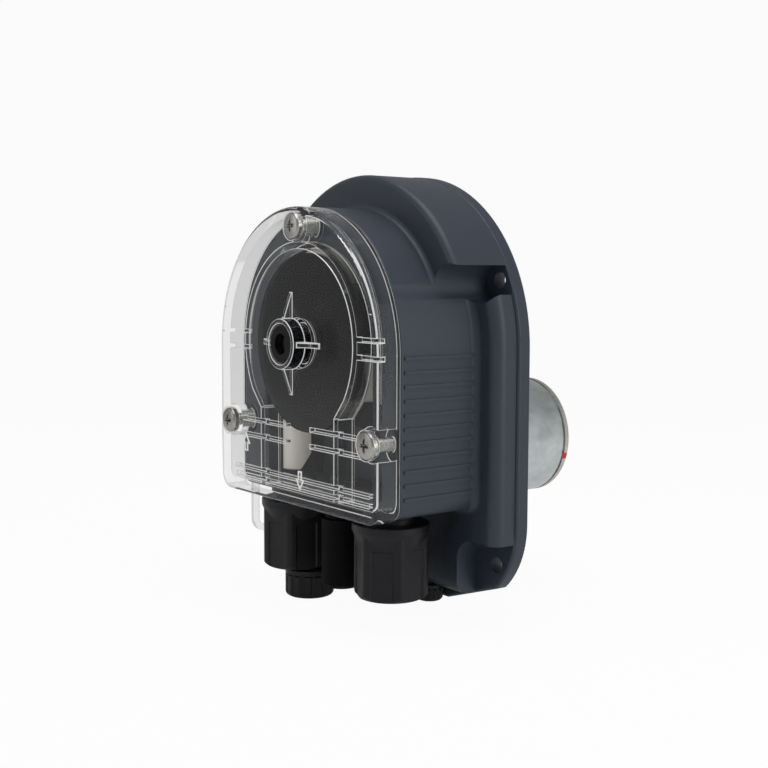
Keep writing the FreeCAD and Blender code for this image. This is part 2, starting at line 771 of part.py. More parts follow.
def axis_of(body, role):
    return [item for item in body.Origin.OriginFeatures if item.Role == role][0]


def seal_step(body, kind, name, at, gap, length):
    """Ring under the cover's outer wall; gap shrinks its section on both sides."""
    sketch = new_sketch(body, name, "XZ_Plane", at)
    for inset in (f"(seal_inset + {gap})", f"(seal_inset + seal_width - {gap})"):
        add_arch(sketch, f"head_radius - {inset}", "arch_rise", f"head_bottom + {inset}",
                 f"head_corner - {inset}")
    return extrude(body, kind, sketch, length)


def make_cover_seal():
    body = new_body("cover_seal")
    seal_step(body, "Pad", "seal_ring", "head_front - seal_deep", "seal_play", "seal_deep")
    return body


# Gear positions: the idler sits where both pairs of teeth mesh
def pitch(alias):
    return value("gear_module") * value(alias) / 2


def idler_place():
    first = pitch("motor_pinion_teeth") + pitch("idler_wheel_teeth")
    second = pitch("idler_pinion_teeth") + pitch("output_gear_teeth")
    span = value("rotor_rise") - value("motor_rise")
    up = (first ** 2 - second ** 2 + span ** 2) / (2 * span)
    return math.sqrt(first ** 2 - up ** 2), value("motor_rise") + up


IDLER_X, IDLER_Z = idler_place()


# Gearbox back plate
def make_back_plate():
    body = new_body("gearbox_back_plate")
    grow = "(plate_margin - plate_gap)"
    foot = "(plate_foot_margin - plate_gap)"
    arch_step(body, "Pad", "plate_outline", "0", f"gearbox_radius + {grow}", "arch_rise",
              f"gearbox_bottom - {foot}", f"chamber_corner + {foot}", "plate_thick")
    circle_step(body, "Pad", "plate_boss", "plate_thick - merge_depth",
                [("0", "rotor_rise", "plate_bush_outer + plate_boss_wall")],
                "plate_boss_front - plate_thick + merge_depth")
    circle_step(body, "Pocket", "plate_bush_bore", "plate_boss_front + past_face",
                [("0", "rotor_rise", "plate_bush_outer + fit_gap")],
                "plate_boss_front + past_face - plate_blind_floor")
    front, through = "plate_thick + past_face", "plate_thick + 2 * past_face"
    circle_step(body, "Pocket", "motor_boss_hole", front,
                [("0", "motor_rise", "motor_boss_radius + fit_gap")], through)
    circle_step(body, "Pocket", "plate_holes", front,
                [(x, z, "plate_screw_radius + screw_clear") for x, z in PLATE_SCREWS]
                + [(x, z, "motor_screw_radius + screw_clear") for x, z in MOTOR_SCREWS], through)
    circle_step(body, "Pocket", "plate_countersinks", "plate_screw_sink",
                [(x, z, "plate_screw_head + screw_clear") for x, z in PLATE_SCREWS],
                "plate_screw_sink + past_face")
    circle_step(body, "Pocket", "axle_hole", front,
                [(str(IDLER_X), str(IDLER_Z), "axle_radius + fit_gap")],
                "plate_thick + past_face - plate_blind_floor")
    return body


# Clear cover
COVER = ("head_radius", "arch_rise", "cover_bottom", "cover_corner")


def make_cover():
    body = new_body("front_cover")
    arch_step(body, "Pad", "cover_outline", "head_front", *COVER, "cover_front - head_front")
    round_edges(body, "cover_round", lambda e: flat_at(e, value("cover_front")))
    arch_step(body, "Pocket", "cover_room", "cover_front - cover_plate", "head_radius - cover_wall",
              "arch_rise", "cover_bottom + cover_foot_wall", "cover_corner - cover_wall",
              "cover_front - cover_plate - head_front + past_face")
    inside = "cover_front - cover_plate - head_front"
    at = "head_front"

    # Keyhole wall: a ring round the rotor that runs into two straight legs
    r_in, r_out = "(ring_radius - ring_thick / 2)", "(ring_radius + ring_thick / 2)"
    keyhole = new_sketch(body, "keyhole_wall", "XZ_Plane", at)
    foot = "cover_bottom + cover_foot_wall - merge_depth"
    add_keyhole(keyhole, r_out, "leg_wall_x + ring_thick / 2", foot + " - merge_depth / 2")
    add_keyhole(keyhole, r_in, "leg_wall_x - ring_thick / 2", foot)
    extrude(body, "Pad", keyhole, inside + " + merge_depth")

    # Screw bosses and their holes
    circle_step(body, "Pad", "cover_bosses", at,
                [(x, z, "boss_radius") for x, z in COVER_SCREWS], inside + " + merge_depth")

    # Cross ribs beside the ring, above and below the lower screws, and two rails at the foot
    ribs = []
    near, far = "ring_radius", "head_radius - cover_wall / 2"
    for lift in ("rib_spread", "-rib_spread"):
        for sign in ("", "-"):
            z = f"rotor_rise + {lift}"
            ribs.append(rib_box(sign, near, far, z))
            z = f"screw_low_z - low_rib_drop + {lift}"
            ribs.append(rib_box(sign, "low_rib_start", "screw_low_x - boss_radius / 2", z))
    rib_start = "cover_front - cover_plate - rib_deep"
    polygon_step(body, "Pad", "cross_ribs", rib_start, ribs, "rib_deep + merge_depth")
    rails = [rail_box("rail_z"), rail_box("rail_z - rail_pitch")]
    polygon_step(body, "Pad", "rails", rib_start, rails, "rib_deep + merge_depth")

    # Hub with four gussets on the front
    circle_step(body, "Pad", "hub", "front_disc_back + disc_thick + hub_back_gap",
                [("0", "rotor_rise", "hub_radius")], "hub_front - front_disc_back - disc_thick - hub_back_gap")
    base, tip = "cover_front - merge_depth", "hub_front - gusset_drop"
    near = "(hub_radius - merge_depth)"
    for sign in ("", "-"):
        fin = [(sign + near, f"-({base})"), (sign + "gusset_reach", f"-({base})"),
               (sign + "gusset_reach", "-(cover_front + gusset_tip)"), (sign + near, f"-({tip})")]
        sketch = new_sketch(body, "side_fin" + ("_left" if sign else "_right"), "XY_Plane", "rotor_rise")
        add_polygon(sketch, fin)
        extrude(body, "Pad", sketch, "gusset_thick").Midplane = True
        lift = [(y, f"rotor_rise + ({r})") for r, y in fin]
        sketch = new_sketch(body, "rise_fin" + ("_low" if sign else "_high"), "YZ_Plane")
        add_polygon(sketch, lift)
        extrude(body, "Pad", sketch, "gusset_thick").Midplane = True
    doc.recompute()
    circle_step(body, "Pocket", "hub_bore", "hub_front + past_face",
                [("0", "rotor_rise", "nose_radius + run_gap")], "hub_front - front_disc_back")
    circle_step(body, "Pocket", "screw_holes", "cover_front + past_face",
                [(x, z, "screw_radius + screw_clear") for x, z in COVER_SCREWS],
                "cover_front - head_front + 2 * past_face")
    circle_step(body, "Pocket", "head_seats", "cover_front + past_face",
                [(x, z, "screw_head_radius + screw_head_gap") for x, z in COVER_SCREWS],
                "screw_head_sink + past_face")
    return body


def rib_box(sign, near, far, z):
    points = box_points(near, f"{z} - rib_thick / 2", far, f"{z} + rib_thick / 2")
    return mirrored(points) if sign else points


def rail_box(z):
    return box_points("-rail_half", f"{z} - rib_thick / 2", "rail_half", f"{z} + rib_thick / 2")


def add_keyhole(sketch, radius, leg_x, foot):
    """Arc over the top, slanted shoulders, straight legs; open ring corners are tied to the sheet."""
    r, rise = number(radius), value("rotor_rise")
    z0 = number("ring_open_z")
    x0 = math.sqrt(r * r - (rise - z0) ** 2)
    start = math.atan2(z0 - rise, x0)
    arc = Part.ArcOfCircle(Part.Circle(V(0, rise, 0), V(0, 0, 1), r), start, math.pi - start)
    first = sketch.addGeometry(arc)
    lx, lz, fz = number(leg_x), number("leg_wall_z"), number(foot)
    spots = [V(-x0, z0, 0), V(-lx, lz, 0), V(-lx, fz, 0), V(lx, fz, 0), V(lx, lz, 0), V(x0, z0, 0)]
    for k in range(5):
        sketch.addGeometry(Part.LineSegment(spots[k], spots[k + 1]))
    for k in range(6):
        sketch.addConstraint(Sketcher.Constraint("Coincident", first + k, 2, first + (k + 1) % 6, 1))
    pin_point(sketch, first, 3, "0", "rotor_rise")
    bind(sketch, Sketcher.Constraint("Radius", first, r), radius)
    for pos in (1, 2):
        bind(sketch, Sketcher.Constraint("DistanceY", -1, 1, first, pos, z0), "ring_open_z")
    corners = ((2, "-(" + leg_x + ")", "leg_wall_z"), (3, "-(" + leg_x + ")", foot),
               (4, leg_x, foot), (5, leg_x, "leg_wall_z"))
    for k, x, z in corners:
        pin_point(sketch, first + k, 1, x, z)


# Screws: one body of revolution, copied to each place
def pan_head(radius, head, high, long):
    return [("0", f"-({long})"), (radius, f"-({long})"), (radius, "0"), (head, "0"),
            (head, f"{high} * 0.55"), (f"{head} * 0.72", high), ("0", high)]


def make_cover_screws():
    body = new_body("cover_screw_pattern")
    turn_profile(body, "cover_screw_profile",
                 pan_head("screw_radius", "screw_head_radius", "screw_head_high", "screw_long"))
    long, thin = "screw_head_radius * 0.5", "cross_half"
    for name, x, z in (("cross_level", long, thin), ("cross_upright", thin, long)):
        polygon_step(body, "Pocket", name, "screw_head_high", [box_points("-" + x, "-" + z, x, z)],
                     "screw_head_high * 0.6")
    return copy_to(body, "cover_screws",
                   [(x, "cover_front - screw_head_sink", z) for x, z in COVER_SCREWS])


def copy_to(body, label, places, turned=False):
    """Separate solids, one at each (x, depth, z); turned ones look the other way along Y."""
    copies = []
    for x, depth, z in places:
        shape = body.Shape.copy()
        if turned:
            shape.rotate(V(0, 0, 0), V(0, 0, 1), 180)
        shape.translate(V(number(x), -number(depth), number(z)))
        copies.append(shape)
    return feature_of(label, Part.makeCompound(copies))


def make_plate_screws():
    profile = [("0", "-(plate_screw_long)"), ("plate_screw_radius", "-(plate_screw_long)"),
               ("plate_screw_radius", "0"), ("plate_screw_head", "0"),
               ("plate_screw_head", "plate_screw_head_high"), ("0", "plate_screw_head_high")]
    body = new_body("plate_screw_pattern")
    turn_profile(body, "plate_screw_profile", profile)
    places = [(x, "plate_screw_sink", z) for x, z in PLATE_SCREWS]
    return copy_to(body, "back_plate_screws", places, turned=True)


# Rotor: rear disc with core, front disc with nose, three pins and rollers
def roller_places():
    count = int(value("roller_count"))
    orbit = value("roller_orbit")
    turns = [math.radians(90 + 360 * k / count) for k in range(count)]
    return [(orbit * math.cos(a), value("rotor_rise") + orbit * math.sin(a)) for a in turns]


def make_rotor_rear():
    body = new_body("rotor_hub")
    profile = [("shaft_radius + fit_gap", "rear_disc_back"), ("disc_radius", "rear_disc_back"),
               ("disc_radius", "rear_disc_back + disc_thick"), ("core_radius", "rear_disc_back + disc_thick"),
               ("core_radius", "front_disc_back"), ("shaft_radius + fit_gap", "front_disc_back")]
    turn_profile(body, "rotor_hub_profile", profile)
    circles = [(str(x), str(z - value("rotor_rise")), "pin_radius + fit_gap") for x, z in roller_places()]
    circle_step(body, "Pocket", "rear_pin_holes", "rear_disc_back + disc_thick + past_face", circles,
                "disc_thick + past_face - pin_hole_floor")
    place(body, z="rotor_rise")
    return body


def make_rotor_front():
    body = new_body("rotor_front_disc")
    back, front = "front_disc_back", "front_disc_back + disc_thick"
    land = front + " + nose_land_high"
    profile = [("shaft_radius + fit_gap", back), ("disc_radius", back), ("disc_radius", front),
               ("nose_radius + nose_land", front), ("nose_radius + nose_land", land),
               ("nose_radius", land),
               ("nose_radius", "nose_front - nose_chamfer"),
               ("nose_radius - nose_chamfer", "nose_front"), ("nose_socket_radius", "nose_front"),
               ("nose_socket_radius", SCREW_SEAT), ("rotor_screw_radius + fit_gap", SCREW_SEAT),
               ("rotor_screw_radius + fit_gap", "shaft_front + pin_end_gap"),
               ("shaft_radius + fit_gap", "shaft_front + pin_end_gap")]
    turn_profile(body, "rotor_front_profile", profile)
    spots = [(str(x), str(z - value("rotor_rise"))) for x, z in roller_places()]
    circle_step(body, "Pad", "pin_collars", "roller_front + side_play",
                [(x, z, "pin_collar") for x, z in spots],
                "front_disc_back - roller_front - side_play + merge_depth")
    circle_step(body, "Pocket", "front_pin_holes", "front_disc_back + disc_thick - pin_hole_floor",
                [(x, z, "pin_radius + fit_gap") for x, z in spots],
                "front_disc_back + disc_thick - roller_front")
    place(body, z="rotor_rise")
    return body


def make_pins():
    body = new_body("roller_pin_pattern")
    back = "rear_disc_back + pin_hole_floor + pin_end_gap"
    front = "front_disc_back + disc_thick - pin_hole_floor - pin_end_gap"
    turn_profile(body, "pin_profile",
                 [("0", back), ("pin_radius", back), ("pin_radius", front), ("0", front)])
    return copy_to(body, "roller_pins", [(str(x), "0", str(z)) for x, z in roller_places()])


def make_roller(index, spot):
    body = new_body(f"roller_{index}")
    bore, rim = "pin_radius + run_gap", "roller_radius"
    side = rim + " - roller_chamfer"
    turn_profile(body, f"roller_{index}_profile", [
        (bore, "roller_back"), (side, "roller_back"), (rim, "roller_back + roller_chamfer"),
        (rim, "roller_front - roller_chamfer"), (side, "roller_front"), (bore, "roller_front")])
    place(body, x=str(spot[0]), z=str(spot[1]))
    return body


def make_rotor_screw():
    body = new_body("rotor_screw")
    foot, top = SCREW_SEAT + " - rotor_screw_long", SCREW_SEAT + " + rotor_screw_head_high"
    turn_profile(body, "rotor_screw_profile", [
        ("0", foot), ("rotor_screw_radius", foot), ("rotor_screw_radius", SCREW_SEAT),
        ("rotor_screw_head", SCREW_SEAT), ("rotor_screw_head", top), ("0", top)])
    circle_step(body, "Pocket", "screw_socket", top, [("0", "0", "rotor_screw_socket")],
                "rotor_screw_head_high * 0.6")
    place(body, z="rotor_rise")
    return body


def make_output_shaft():
    body = new_body("output_shaft")
    foot = SCREW_SEAT + " - rotor_screw_long - hole_spare"
    slim = "shaft_radius - shaft_chamfer"
    turn_profile(body, "output_shaft_profile", [
        ("0", "shaft_back"), (slim, "shaft_back"), ("shaft_radius", "shaft_back + shaft_chamfer"),
        ("shaft_radius", "shaft_front - shaft_chamfer"), (slim, "shaft_front"),
        ("rotor_screw_radius + fit_gap", "shaft_front"), ("rotor_screw_radius + fit_gap", foot),
        ("0", foot)])
    place(body, z="rotor_rise")
    return body


def ring_body(label, inner, outer, back, front, x="0", z="rotor_rise"):
    body = new_body(label)
    turn_profile(body, label + "_profile", [(inner, back), (outer, back), (outer, front), (inner, front)])
    place(body, x=x, z=z)
    return body


# Gears: involute flanks worked out from module and tooth count
PRESSURE_ANGLE = math.radians(20)
FLANK_STEPS = 2


def gear_outline(teeth, phase):
    """Closed outline of an external spur gear with flanks thinned by tooth_play."""
    module = value("gear_module")
    pitch_r = module * teeth / 2
    base_r = pitch_r * math.cos(PRESSURE_ANGLE)
    tip_r = pitch_r + value("tooth_tip") * module
    root_r = pitch_r - value("tooth_root") * module
    half = (math.pi * module / 2 - value("tooth_play")) / (2 * pitch_r)
    rolled = math.tan(PRESSURE_ANGLE) - PRESSURE_ANGLE

    def flank(radius):
        roll = math.acos(min(1.0, base_r / radius))
        return half + rolled - (math.tan(roll) - roll)
    low = max(base_r, root_r)
    radii = [low + (tip_r - low) * k / FLANK_STEPS for k in range(FLANK_STEPS + 1)]
    points = []
    for tooth in range(teeth):
        mid = phase + 2 * math.pi * tooth / teeth
        rising = [(r, mid - flank(r)) for r in radii]
        falling = [(r, mid + flank(r)) for r in reversed(radii)]
        foot = [(root_r, mid - flank(low))] if root_r < low else []
        heel = [(root_r, mid + flank(low))] if root_r < low else []
        points += [(r * math.cos(a), r * math.sin(a)) for r, a in foot + rising + falling + heel]
    return points


def gear_solid(teeth, back, front, phase):
    points = gear_outline(teeth, phase)
    wire = Part.makePolygon([V(x, -back, z) for x, z in points + points[:1]])
    return Part.Face(wire).extrude(V(0, -(front - back), 0))


def drum(radius, back, front):
    return Part.makeCylinder(radius, front - back, V(0, -back, 0), V(0, -1, 0))


def angle_to(x1, z1, x2, z2):
    return math.atan2(z2 - z1, x2 - x1)


def gap_phase(teeth, toward):
    """Turns a gear so that the middle of a gap points along the angle toward."""
    return toward + math.pi / teeth


def teeth_of(alias):
    return int(round(value(alias)))


def make_motor_pinion():
    rise, back, front = value("motor_rise"), value("pinion_back"), value("pinion_front")
    toward = angle_to(0, rise, IDLER_X, IDLER_Z)
    solid = gear_solid(teeth_of("motor_pinion_teeth"), back, front, toward)
    bore = drum(value("motor_shaft_radius") + value("fit_gap"), back, front)
    item = feature_of("motor_pinion", solid.cut(bore))
    item.Placement.Base = V(0, 0, rise)
    return item


def web_ring(inner, outer, back, front):
    """Space cut beside a gear's web, between its hub and its rim."""
    return drum(outer, back, front).cut(drum(inner, back, front))


def make_idler():
    big, small = teeth_of("idler_wheel_teeth"), teeth_of("idler_pinion_teeth")
    to_motor = angle_to(IDLER_X, IDLER_Z, 0, value("motor_rise"))
    to_output = angle_to(IDLER_X, IDLER_Z, 0, value("rotor_rise"))
    back, front = value("wheel_back"), value("wheel_front")
    wheel = gear_solid(big, back, front, gap_phase(big, to_motor))
    pinion = gear_solid(small, front, value("idler_front"), to_output)
    boss_radius = value("axle_radius") + value("idler_boss_wall")
    boss = drum(boss_radius, value("idler_boss_back"), front)
    rim = pitch("idler_wheel_teeth") - value("tooth_root") * value("gear_module") - value("rim_wall")
    recess = web_ring(boss_radius, rim, back, front - value("wheel_web_thick"))
    bore = drum(value("axle_radius") + value("run_gap"), 0, value("idler_front"))
    item = feature_of("idler_gear", wheel.cut(recess).fuse([pinion, boss]).cut(bore))
    item.Placement.Base = V(IDLER_X, 0, IDLER_Z)
    return item


def make_output_gear():
    count = teeth_of("output_gear_teeth")
    toward = angle_to(0, value("rotor_rise"), IDLER_X, IDLER_Z)
    back, front = value("output_back"), value("output_front")
    solid = gear_solid(count, back, front, gap_phase(count, toward))
    rim = pitch("output_gear_teeth") - value("tooth_root") * value("gear_module") - value("rim_wall")
    recess = web_ring(value("shaft_radius") + value("gear_hub_wall"), rim,
                      back + value("output_web_thick"), front)
    solid = solid.cut([drum(value("shaft_radius") + value("fit_gap"), back, front), recess])
    item = feature_of("output_gear", solid)
    item.Placement.Base = V(0, 0, value("rotor_rise"))
    return item


def rod_body(label, radius, back, front, x, z):
    body = new_body(label)
    turn_profile(body, label + "_profile", [("0", back), (radius, back), (radius, front), ("0", front)])
    place(body, x=x, z=z)
    return body


def make_idler_axle():
    return rod_body("idler_axle", "axle_radius", "plate_blind_floor",
                    "wall_back + axle_seat_deep - axle_end_gap", str(IDLER_X), str(IDLER_Z))


# Squeeze tube: flat where the rollers press it into the race, round in the two legs
def tube_section(thick, width, x, z):
    """Closed section across a leg, in the plane at height z; thick along X, width along Y."""
    y = -value("tube_depth")
    r = thick / 2
    side = max(width / 2 - r, 0)
    if side == 0:
        spots = [math.radians(a) for a in (45, 135, 225, 315)]
        ends = [V(x + r * math.cos(a), y + r * math.sin(a), z) for a in spots]
        mids = [V(x, y + r, z), V(x - r, y, z), V(x, y - r, z), V(x + r, y, z)]
        edges = [Part.Arc(ends[k], mids[k], ends[(k + 1) % 4]).toShape() for k in range(4)]
    else:
        c = [V(x + r, y + side, z), V(x - r, y + side, z), V(x - r, y - side, z), V(x + r, y - side, z)]
        edges = [Part.Arc(c[0], V(x, y + side + r, z), c[1]).toShape(),
                 Part.LineSegment(c[1], c[2]).toShape(),
                 Part.Arc(c[2], V(x, y - side - r, z), c[3]).toShape(),
                 Part.LineSegment(c[3], c[0]).toShape()]
    return Part.Wire(edges)


def tube_layer(flat_thick, flat_width, round_radius):
    """One solid along the whole tube: half turn in the race, straight, loft, straight."""
    race = value("race_radius")
    mid = race - value("tube_flat_thick") / 2
    leg_x = race - value("tube_radius")
    rise, flat_end = value("rotor_rise"), value("tube_flat_end")
    round_z, end = value("tube_round_start"), value("tube_end")
    face = Part.Face(tube_section(flat_thick, flat_width, mid, rise))
    solids = [face.revolve(V(0, 0, rise), V(0, -1, 0), 180)]
    for sign in (1, -1):
        flat = Part.Face(tube_section(flat_thick, flat_width, sign * mid, flat_end))
        solids.append(flat.extrude(V(0, 0, rise - flat_end)))
        upper = tube_section(flat_thick, flat_width, sign * mid, flat_end)
        lower = tube_section(2 * round_radius, 2 * round_radius, sign * leg_x, round_z)
        solids.append(Part.makeLoft([upper, lower], True))
        solids.append(Part.Face(lower).extrude(V(0, 0, end - round_z)))
    return solids[0].fuse(solids[1:]).removeSplitter()


def make_tube():
    outer = tube_layer(value("tube_flat_thick"), value("tube_flat_width"), value("tube_radius"))
    wall = value("tube_flat_thick") - value("tube_slit")
    inner = tube_layer(value("tube_slit"), value("tube_flat_width") - wall, value("tube_bore"))
    return feature_of("squeeze_tube", outer.cut(inner))


# Hose ports
def make_adapter(tag, sign):
    body = new_body("hose_adapter_" + tag)
    under, barb = "head_bottom", "tube_bore - barb_gap"
    flange = under + " - adapter_flange_thick"
    profile = [("adapter_bore", "barb_top"), ("tube_bore - barb_nose", "barb_top - barb_chamfer"),
               (barb, "barb_top - barb_nose_high"), (barb, "tube_end"),
               ("port_radius - barb_chamfer", "tube_end"), ("port_radius", "tube_end - barb_chamfer"),
               ("port_radius", under), ("adapter_flange_radius", under),
               ("adapter_flange_radius", flange), ("adapter_thread_radius", flange),
               ("adapter_thread_radius", "adapter_foot"), ("adapter_bore", "adapter_foot")]
    turn_profile(body, f"hose_adapter_{tag}_profile", profile, axis="Z")
    low, high = "ring_height - ring_section", "ring_height + ring_section"
    deep = "port_radius - 2 * ring_section"
    groove_profile(body, f"adapter_{tag}_groove", [
        (deep, low), ("port_radius + past_face", low), ("port_radius + past_face", high), (deep, high)])
    place(body, x=sign + PORT_X, depth="tube_depth")
    return body


def make_port_rings():
    ring = doc.addObject("Part::Torus", "port_ring_pattern")
    ring.setExpression("Radius1", cells("port_radius - ring_section"))
    ring.setExpression("Radius2", cells("ring_section - fit_gap / 2"))
    doc.recompute()
    return copy_to(ring, "port_o_rings",
                   [(sign + PORT_X, "tube_depth", "ring_height") for _, sign in SIDES])


def make_hose_nut(tag, sign):
    body = new_body("hose_nut_" + tag)
    low, turn = "nut_top - nut_collar_high", "nut_turn_" + tag
    rim, outside = "nut_flat_radius / cos(30)", "nut_flat_radius / cos(30) + past_face"
    sketch = new_sketch(body, f"nut_{tag}_hexagon", "XY_Plane", "nut_bottom")
    add_polygon(sketch, [(f"{rim} * cos({turn} + {60 * k})", f"{rim} * sin({turn} + {60 * k})")
                         for k in range(6)])
    extrude(body, "Pad", sketch, f"{low} - nut_bottom", name=f"nut_{tag}_hex")
    # Domed foot and recessed panels, which run out into it
    groove_profile(body, f"nut_{tag}_dome", [
        (outside, "nut_bottom - past_face"), (outside, "nut_bottom + nut_foot_round"),
        (rim, "nut_bottom + nut_foot_round"),
        (rim + " - nut_foot_round * 0.15", "nut_bottom + nut_foot_round * 0.5"),
        (rim + " - nut_foot_round * 0.5", "nut_bottom + nut_foot_round * 0.15"),
        (rim + " - nut_foot_round", "nut_bottom"), (rim + " - nut_foot_round", "nut_bottom - past_face")])
    panel = new_sketch(body, f"nut_{tag}_panel", "XY_Plane", "nut_bottom - past_face")
    add_polygon(panel, rim_box("nut_flat_radius - nut_panel_deep", "nut_flat_radius + past_face",
                               "nut_panel_half", f"{turn} + 30"))
    first = extrude(body, "Pocket", panel, f"{low} - nut_bevel - nut_bottom + past_face", backward=True)
    ring_of(body, first, f"nut_{tag}_panels", "6")
    # Round collar with a cone that widens from the flats up to it
    turn_profile(body, f"nut_{tag}_collar", [
        ("adapter_thread_radius", "nut_top"), ("nut_collar_radius - nut_chamfer", "nut_top"),
        ("nut_collar_radius", "nut_top - nut_chamfer"), ("nut_collar_radius", low),
        ("nut_flat_radius - nut_panel_deep", low + " - nut_bevel"),
        ("adapter_thread_radius", low + " - nut_bevel")], axis="Z")
    # Threaded room from the top, hose hole through the foot
    floor = "nut_bottom + nut_foot_wall"
    nut_hole(body, f"nut_{tag}_room", "adapter_thread_radius + run_gap", "nut_top", floor)
    nut_hole(body, f"nut_{tag}_hose_hole", "nut_bore", floor, "nut_bottom - past_face")
    place(body, x=sign + PORT_X, depth="tube_depth")
    return body


def make_centre_plug():
    """Plain round plug pressed into the head between the two ports."""
    body = new_body("centre_plug")
    top, neck = "head_bottom + plug_spigot_long", "head_bottom - plug_neck_high"
    turn_profile(body, "plug_profile", [
        ("plug_way_radius", top), ("plug_spigot_radius", top), ("plug_spigot_radius", "head_bottom"),
        ("plug_neck_radius", "head_bottom"), ("plug_neck_radius", neck), ("plug_radius", neck),
        ("plug_radius", "plug_bottom + plug_chamfer"), ("plug_radius - plug_chamfer", "plug_bottom"),
        ("0", "plug_bottom"), ("0", "plug_bottom + plug_way_wall"),
        ("plug_way_radius", "plug_bottom + plug_way_wall")], axis="Z")
    place(body, depth="tube_depth")
    return body


def nut_hole(body, name, radius, top, bottom):
    """Round hole down a nut's axis, from just above one height to another."""
    sketch = new_sketch(body, name, "XY_Plane", top + " + past_face")
    add_circle(sketch, "0", "0", radius)
    return extrude(body, "Pocket", sketch, f"{top} + past_face - ({bottom})")


def ring_of(body, feature, name, count):
    """Repeat a feature round the body's own Z axis."""
    ring = body.newObject("PartDesign::PolarPattern", name)
    ring.Originals = [feature]
    ring.Axis = (axis_of(body, "Z_Axis"), [""])
    ring.Angle = 360
    ring.setExpression("Occurrences", cells(count))
    body.Tip = ring
    doc.recompute()
    return ring


def groove_profile(body, name, points):
    sketch = new_sketch(body, name, "XZ_Plane")
    add_polygon(sketch, points)
    feature = body.newObject("PartDesign::Groove", name + "_cut")
    feature.Profile = sketch
    feature.ReferenceAxis = (sketch, ["V_Axis"])
    feature.Angle = 360
    sketch.Visibility = False
    body.Tip = feature
    doc.recompute()
    return feature


def make_hose_collets():
    body = new_body("hose_collet_pattern")
    top, foot = "adapter_foot - collet_gap", "nut_bottom + nut_foot_wall + collet_gap"
    bore = "small_neck_radius + fit_gap"
    turn_profile(body, "hose_collet_profile", [
        (bore, top), ("adapter_thread_radius - collet_top_inset", top),
        ("adapter_thread_radius - collet_foot_inset", foot), (bore, foot)], axis="Z")
    return copy_to(body, "hose_collets", [(sign + PORT_X, "tube_depth", "0") for _, sign in SIDES])


SMALL_TOP = "(nut_bottom - small_top_gap)"
SMALL_UNDER = "(nut_bottom - small_top_gap - small_disc_thick)"


def make_small_adapter():
    body = new_body("offset_hose_adapter")
    top = "adapter_foot - collet_gap"
    turn_profile(body, "small_neck", [
        ("small_neck_bore", top), ("small_neck_radius", top), ("small_neck_radius", SMALL_TOP),
        ("small_neck_bore", SMALL_TOP)], axis="Z")
    spot = ("small_offset_x", "small_offset_depth")
    for name, at, radius, long in (("small_disc", SMALL_TOP, "small_nut_radius", "small_disc_thick"),
                                   ("small_stub", SMALL_UNDER, "small_thread_radius",
                                    "small_stub_long")):
        sketch = new_sketch(body, name, "XY_Plane", at)
        add_circle(sketch, *spot, radius)
        extrude(body, "Pad", sketch, long, backward=True)
    sketch = new_sketch(body, "small_way", "XY_Plane", SMALL_UNDER + " - small_stub_long - past_face")
    add_circle(sketch, "small_offset_x / 2", "small_offset_depth / 2", "small_way_radius")
    extrude(body, "Pocket", sketch, "small_stub_long + small_disc_thick + 2 * past_face", backward=True)
    sketch = new_sketch(body, "small_socket", "XY_Plane", SMALL_UNDER + " - small_stub_long - past_face")
    add_circle(sketch, *spot, "small_nut_bore")
    extrude(body, "Pocket", sketch, "small_socket_deep + past_face", backward=True)
    place(body, x="-" + PORT_X, depth="tube_depth")
    return body


def make_fluted_nut(label, radius, top, bottom, thread, floor, bore, x, depth):
    """Round nut with half round flutes down its side, a threaded room above and a hole below."""
    body = new_body(label)
    turn_profile(body, label + "_profile", [
        ("0", top), (f"{radius} - fluted_chamfer", top), (radius, f"{top} - fluted_chamfer"),
        (radius, f"{bottom} + fluted_foot"), (f"{radius} - fluted_foot * 0.3", f"{bottom} + fluted_foot * 0.3"),
        (f"{radius} - fluted_foot", bottom), ("0", bottom)], axis="Z")
    sketch = new_sketch(body, label + "_flute", "XY_Plane", f"{bottom} - past_face")
    add_circle(sketch, f"{radius} + flute_radius - flute_deep", "0", "flute_radius")
    first = extrude(body, "Pocket", sketch, f"{top} - ({bottom}) + 2 * past_face", backward=True)
    ring_of(body, first, label + "_flutes", "flute_count")
    nut_hole(body, label + "_room", thread, top, floor)
    nut_hole(body, label + "_hole", bore, floor, bottom + " - past_face")
    place(body, x=x, depth=depth)
    return body


def make_small_nut():
    top = SMALL_UNDER + " - collet_gap"
    return make_fluted_nut("small_hose_nut", "small_nut_radius", top, "small_nut_bottom",
                           "small_thread_radius + run_gap", f"{top} - small_nut_room", "small_nut_bore",
                           f"-{PORT_X} + small_offset_x", "tube_depth - small_offset_depth")


GLAND_SLEEVE = "(gland_thread_radius + gland_wall)"
GLAND_END = "(gland_bottom + gland_floor + gland_seal_high + 2 * collet_gap)"


def make_gland_bodies():
    body = new_body("gland_pattern")
    top, thread = "rear_bottom + gland_thread_long", "gland_thread_radius"
    turn_profile(body, "gland_profile", [
        ("gland_bore", top), (thread, top), (thread, "rear_bottom"), ("gland_radius", "rear_bottom"),
        ("gland_radius", GLAND_FLANGE), (GLAND_SLEEVE, GLAND_FLANGE), (GLAND_SLEEVE, GLAND_END),
        ("gland_bore", GLAND_END)], axis="Z")
    return copy_to(body, "gland_bodies", GLAND_PLACES)


GLAND_PLACES = [(sign + "gland_x", "gland_depth", "0") for _, sign in SIDES]


def make_gland_seals():
    body = new_body("gland_seal_pattern")
    top, low = GLAND_END + " - collet_gap", "gland_bottom + gland_floor + collet_gap"
    turn_profile(body, "gland_seal_profile", [
        ("gland_bore", top), (GLAND_SLEEVE, top), (GLAND_SLEEVE, low), ("gland_bore", low)], axis="Z")
    return copy_to(body, "gland_seals", GLAND_PLACES)


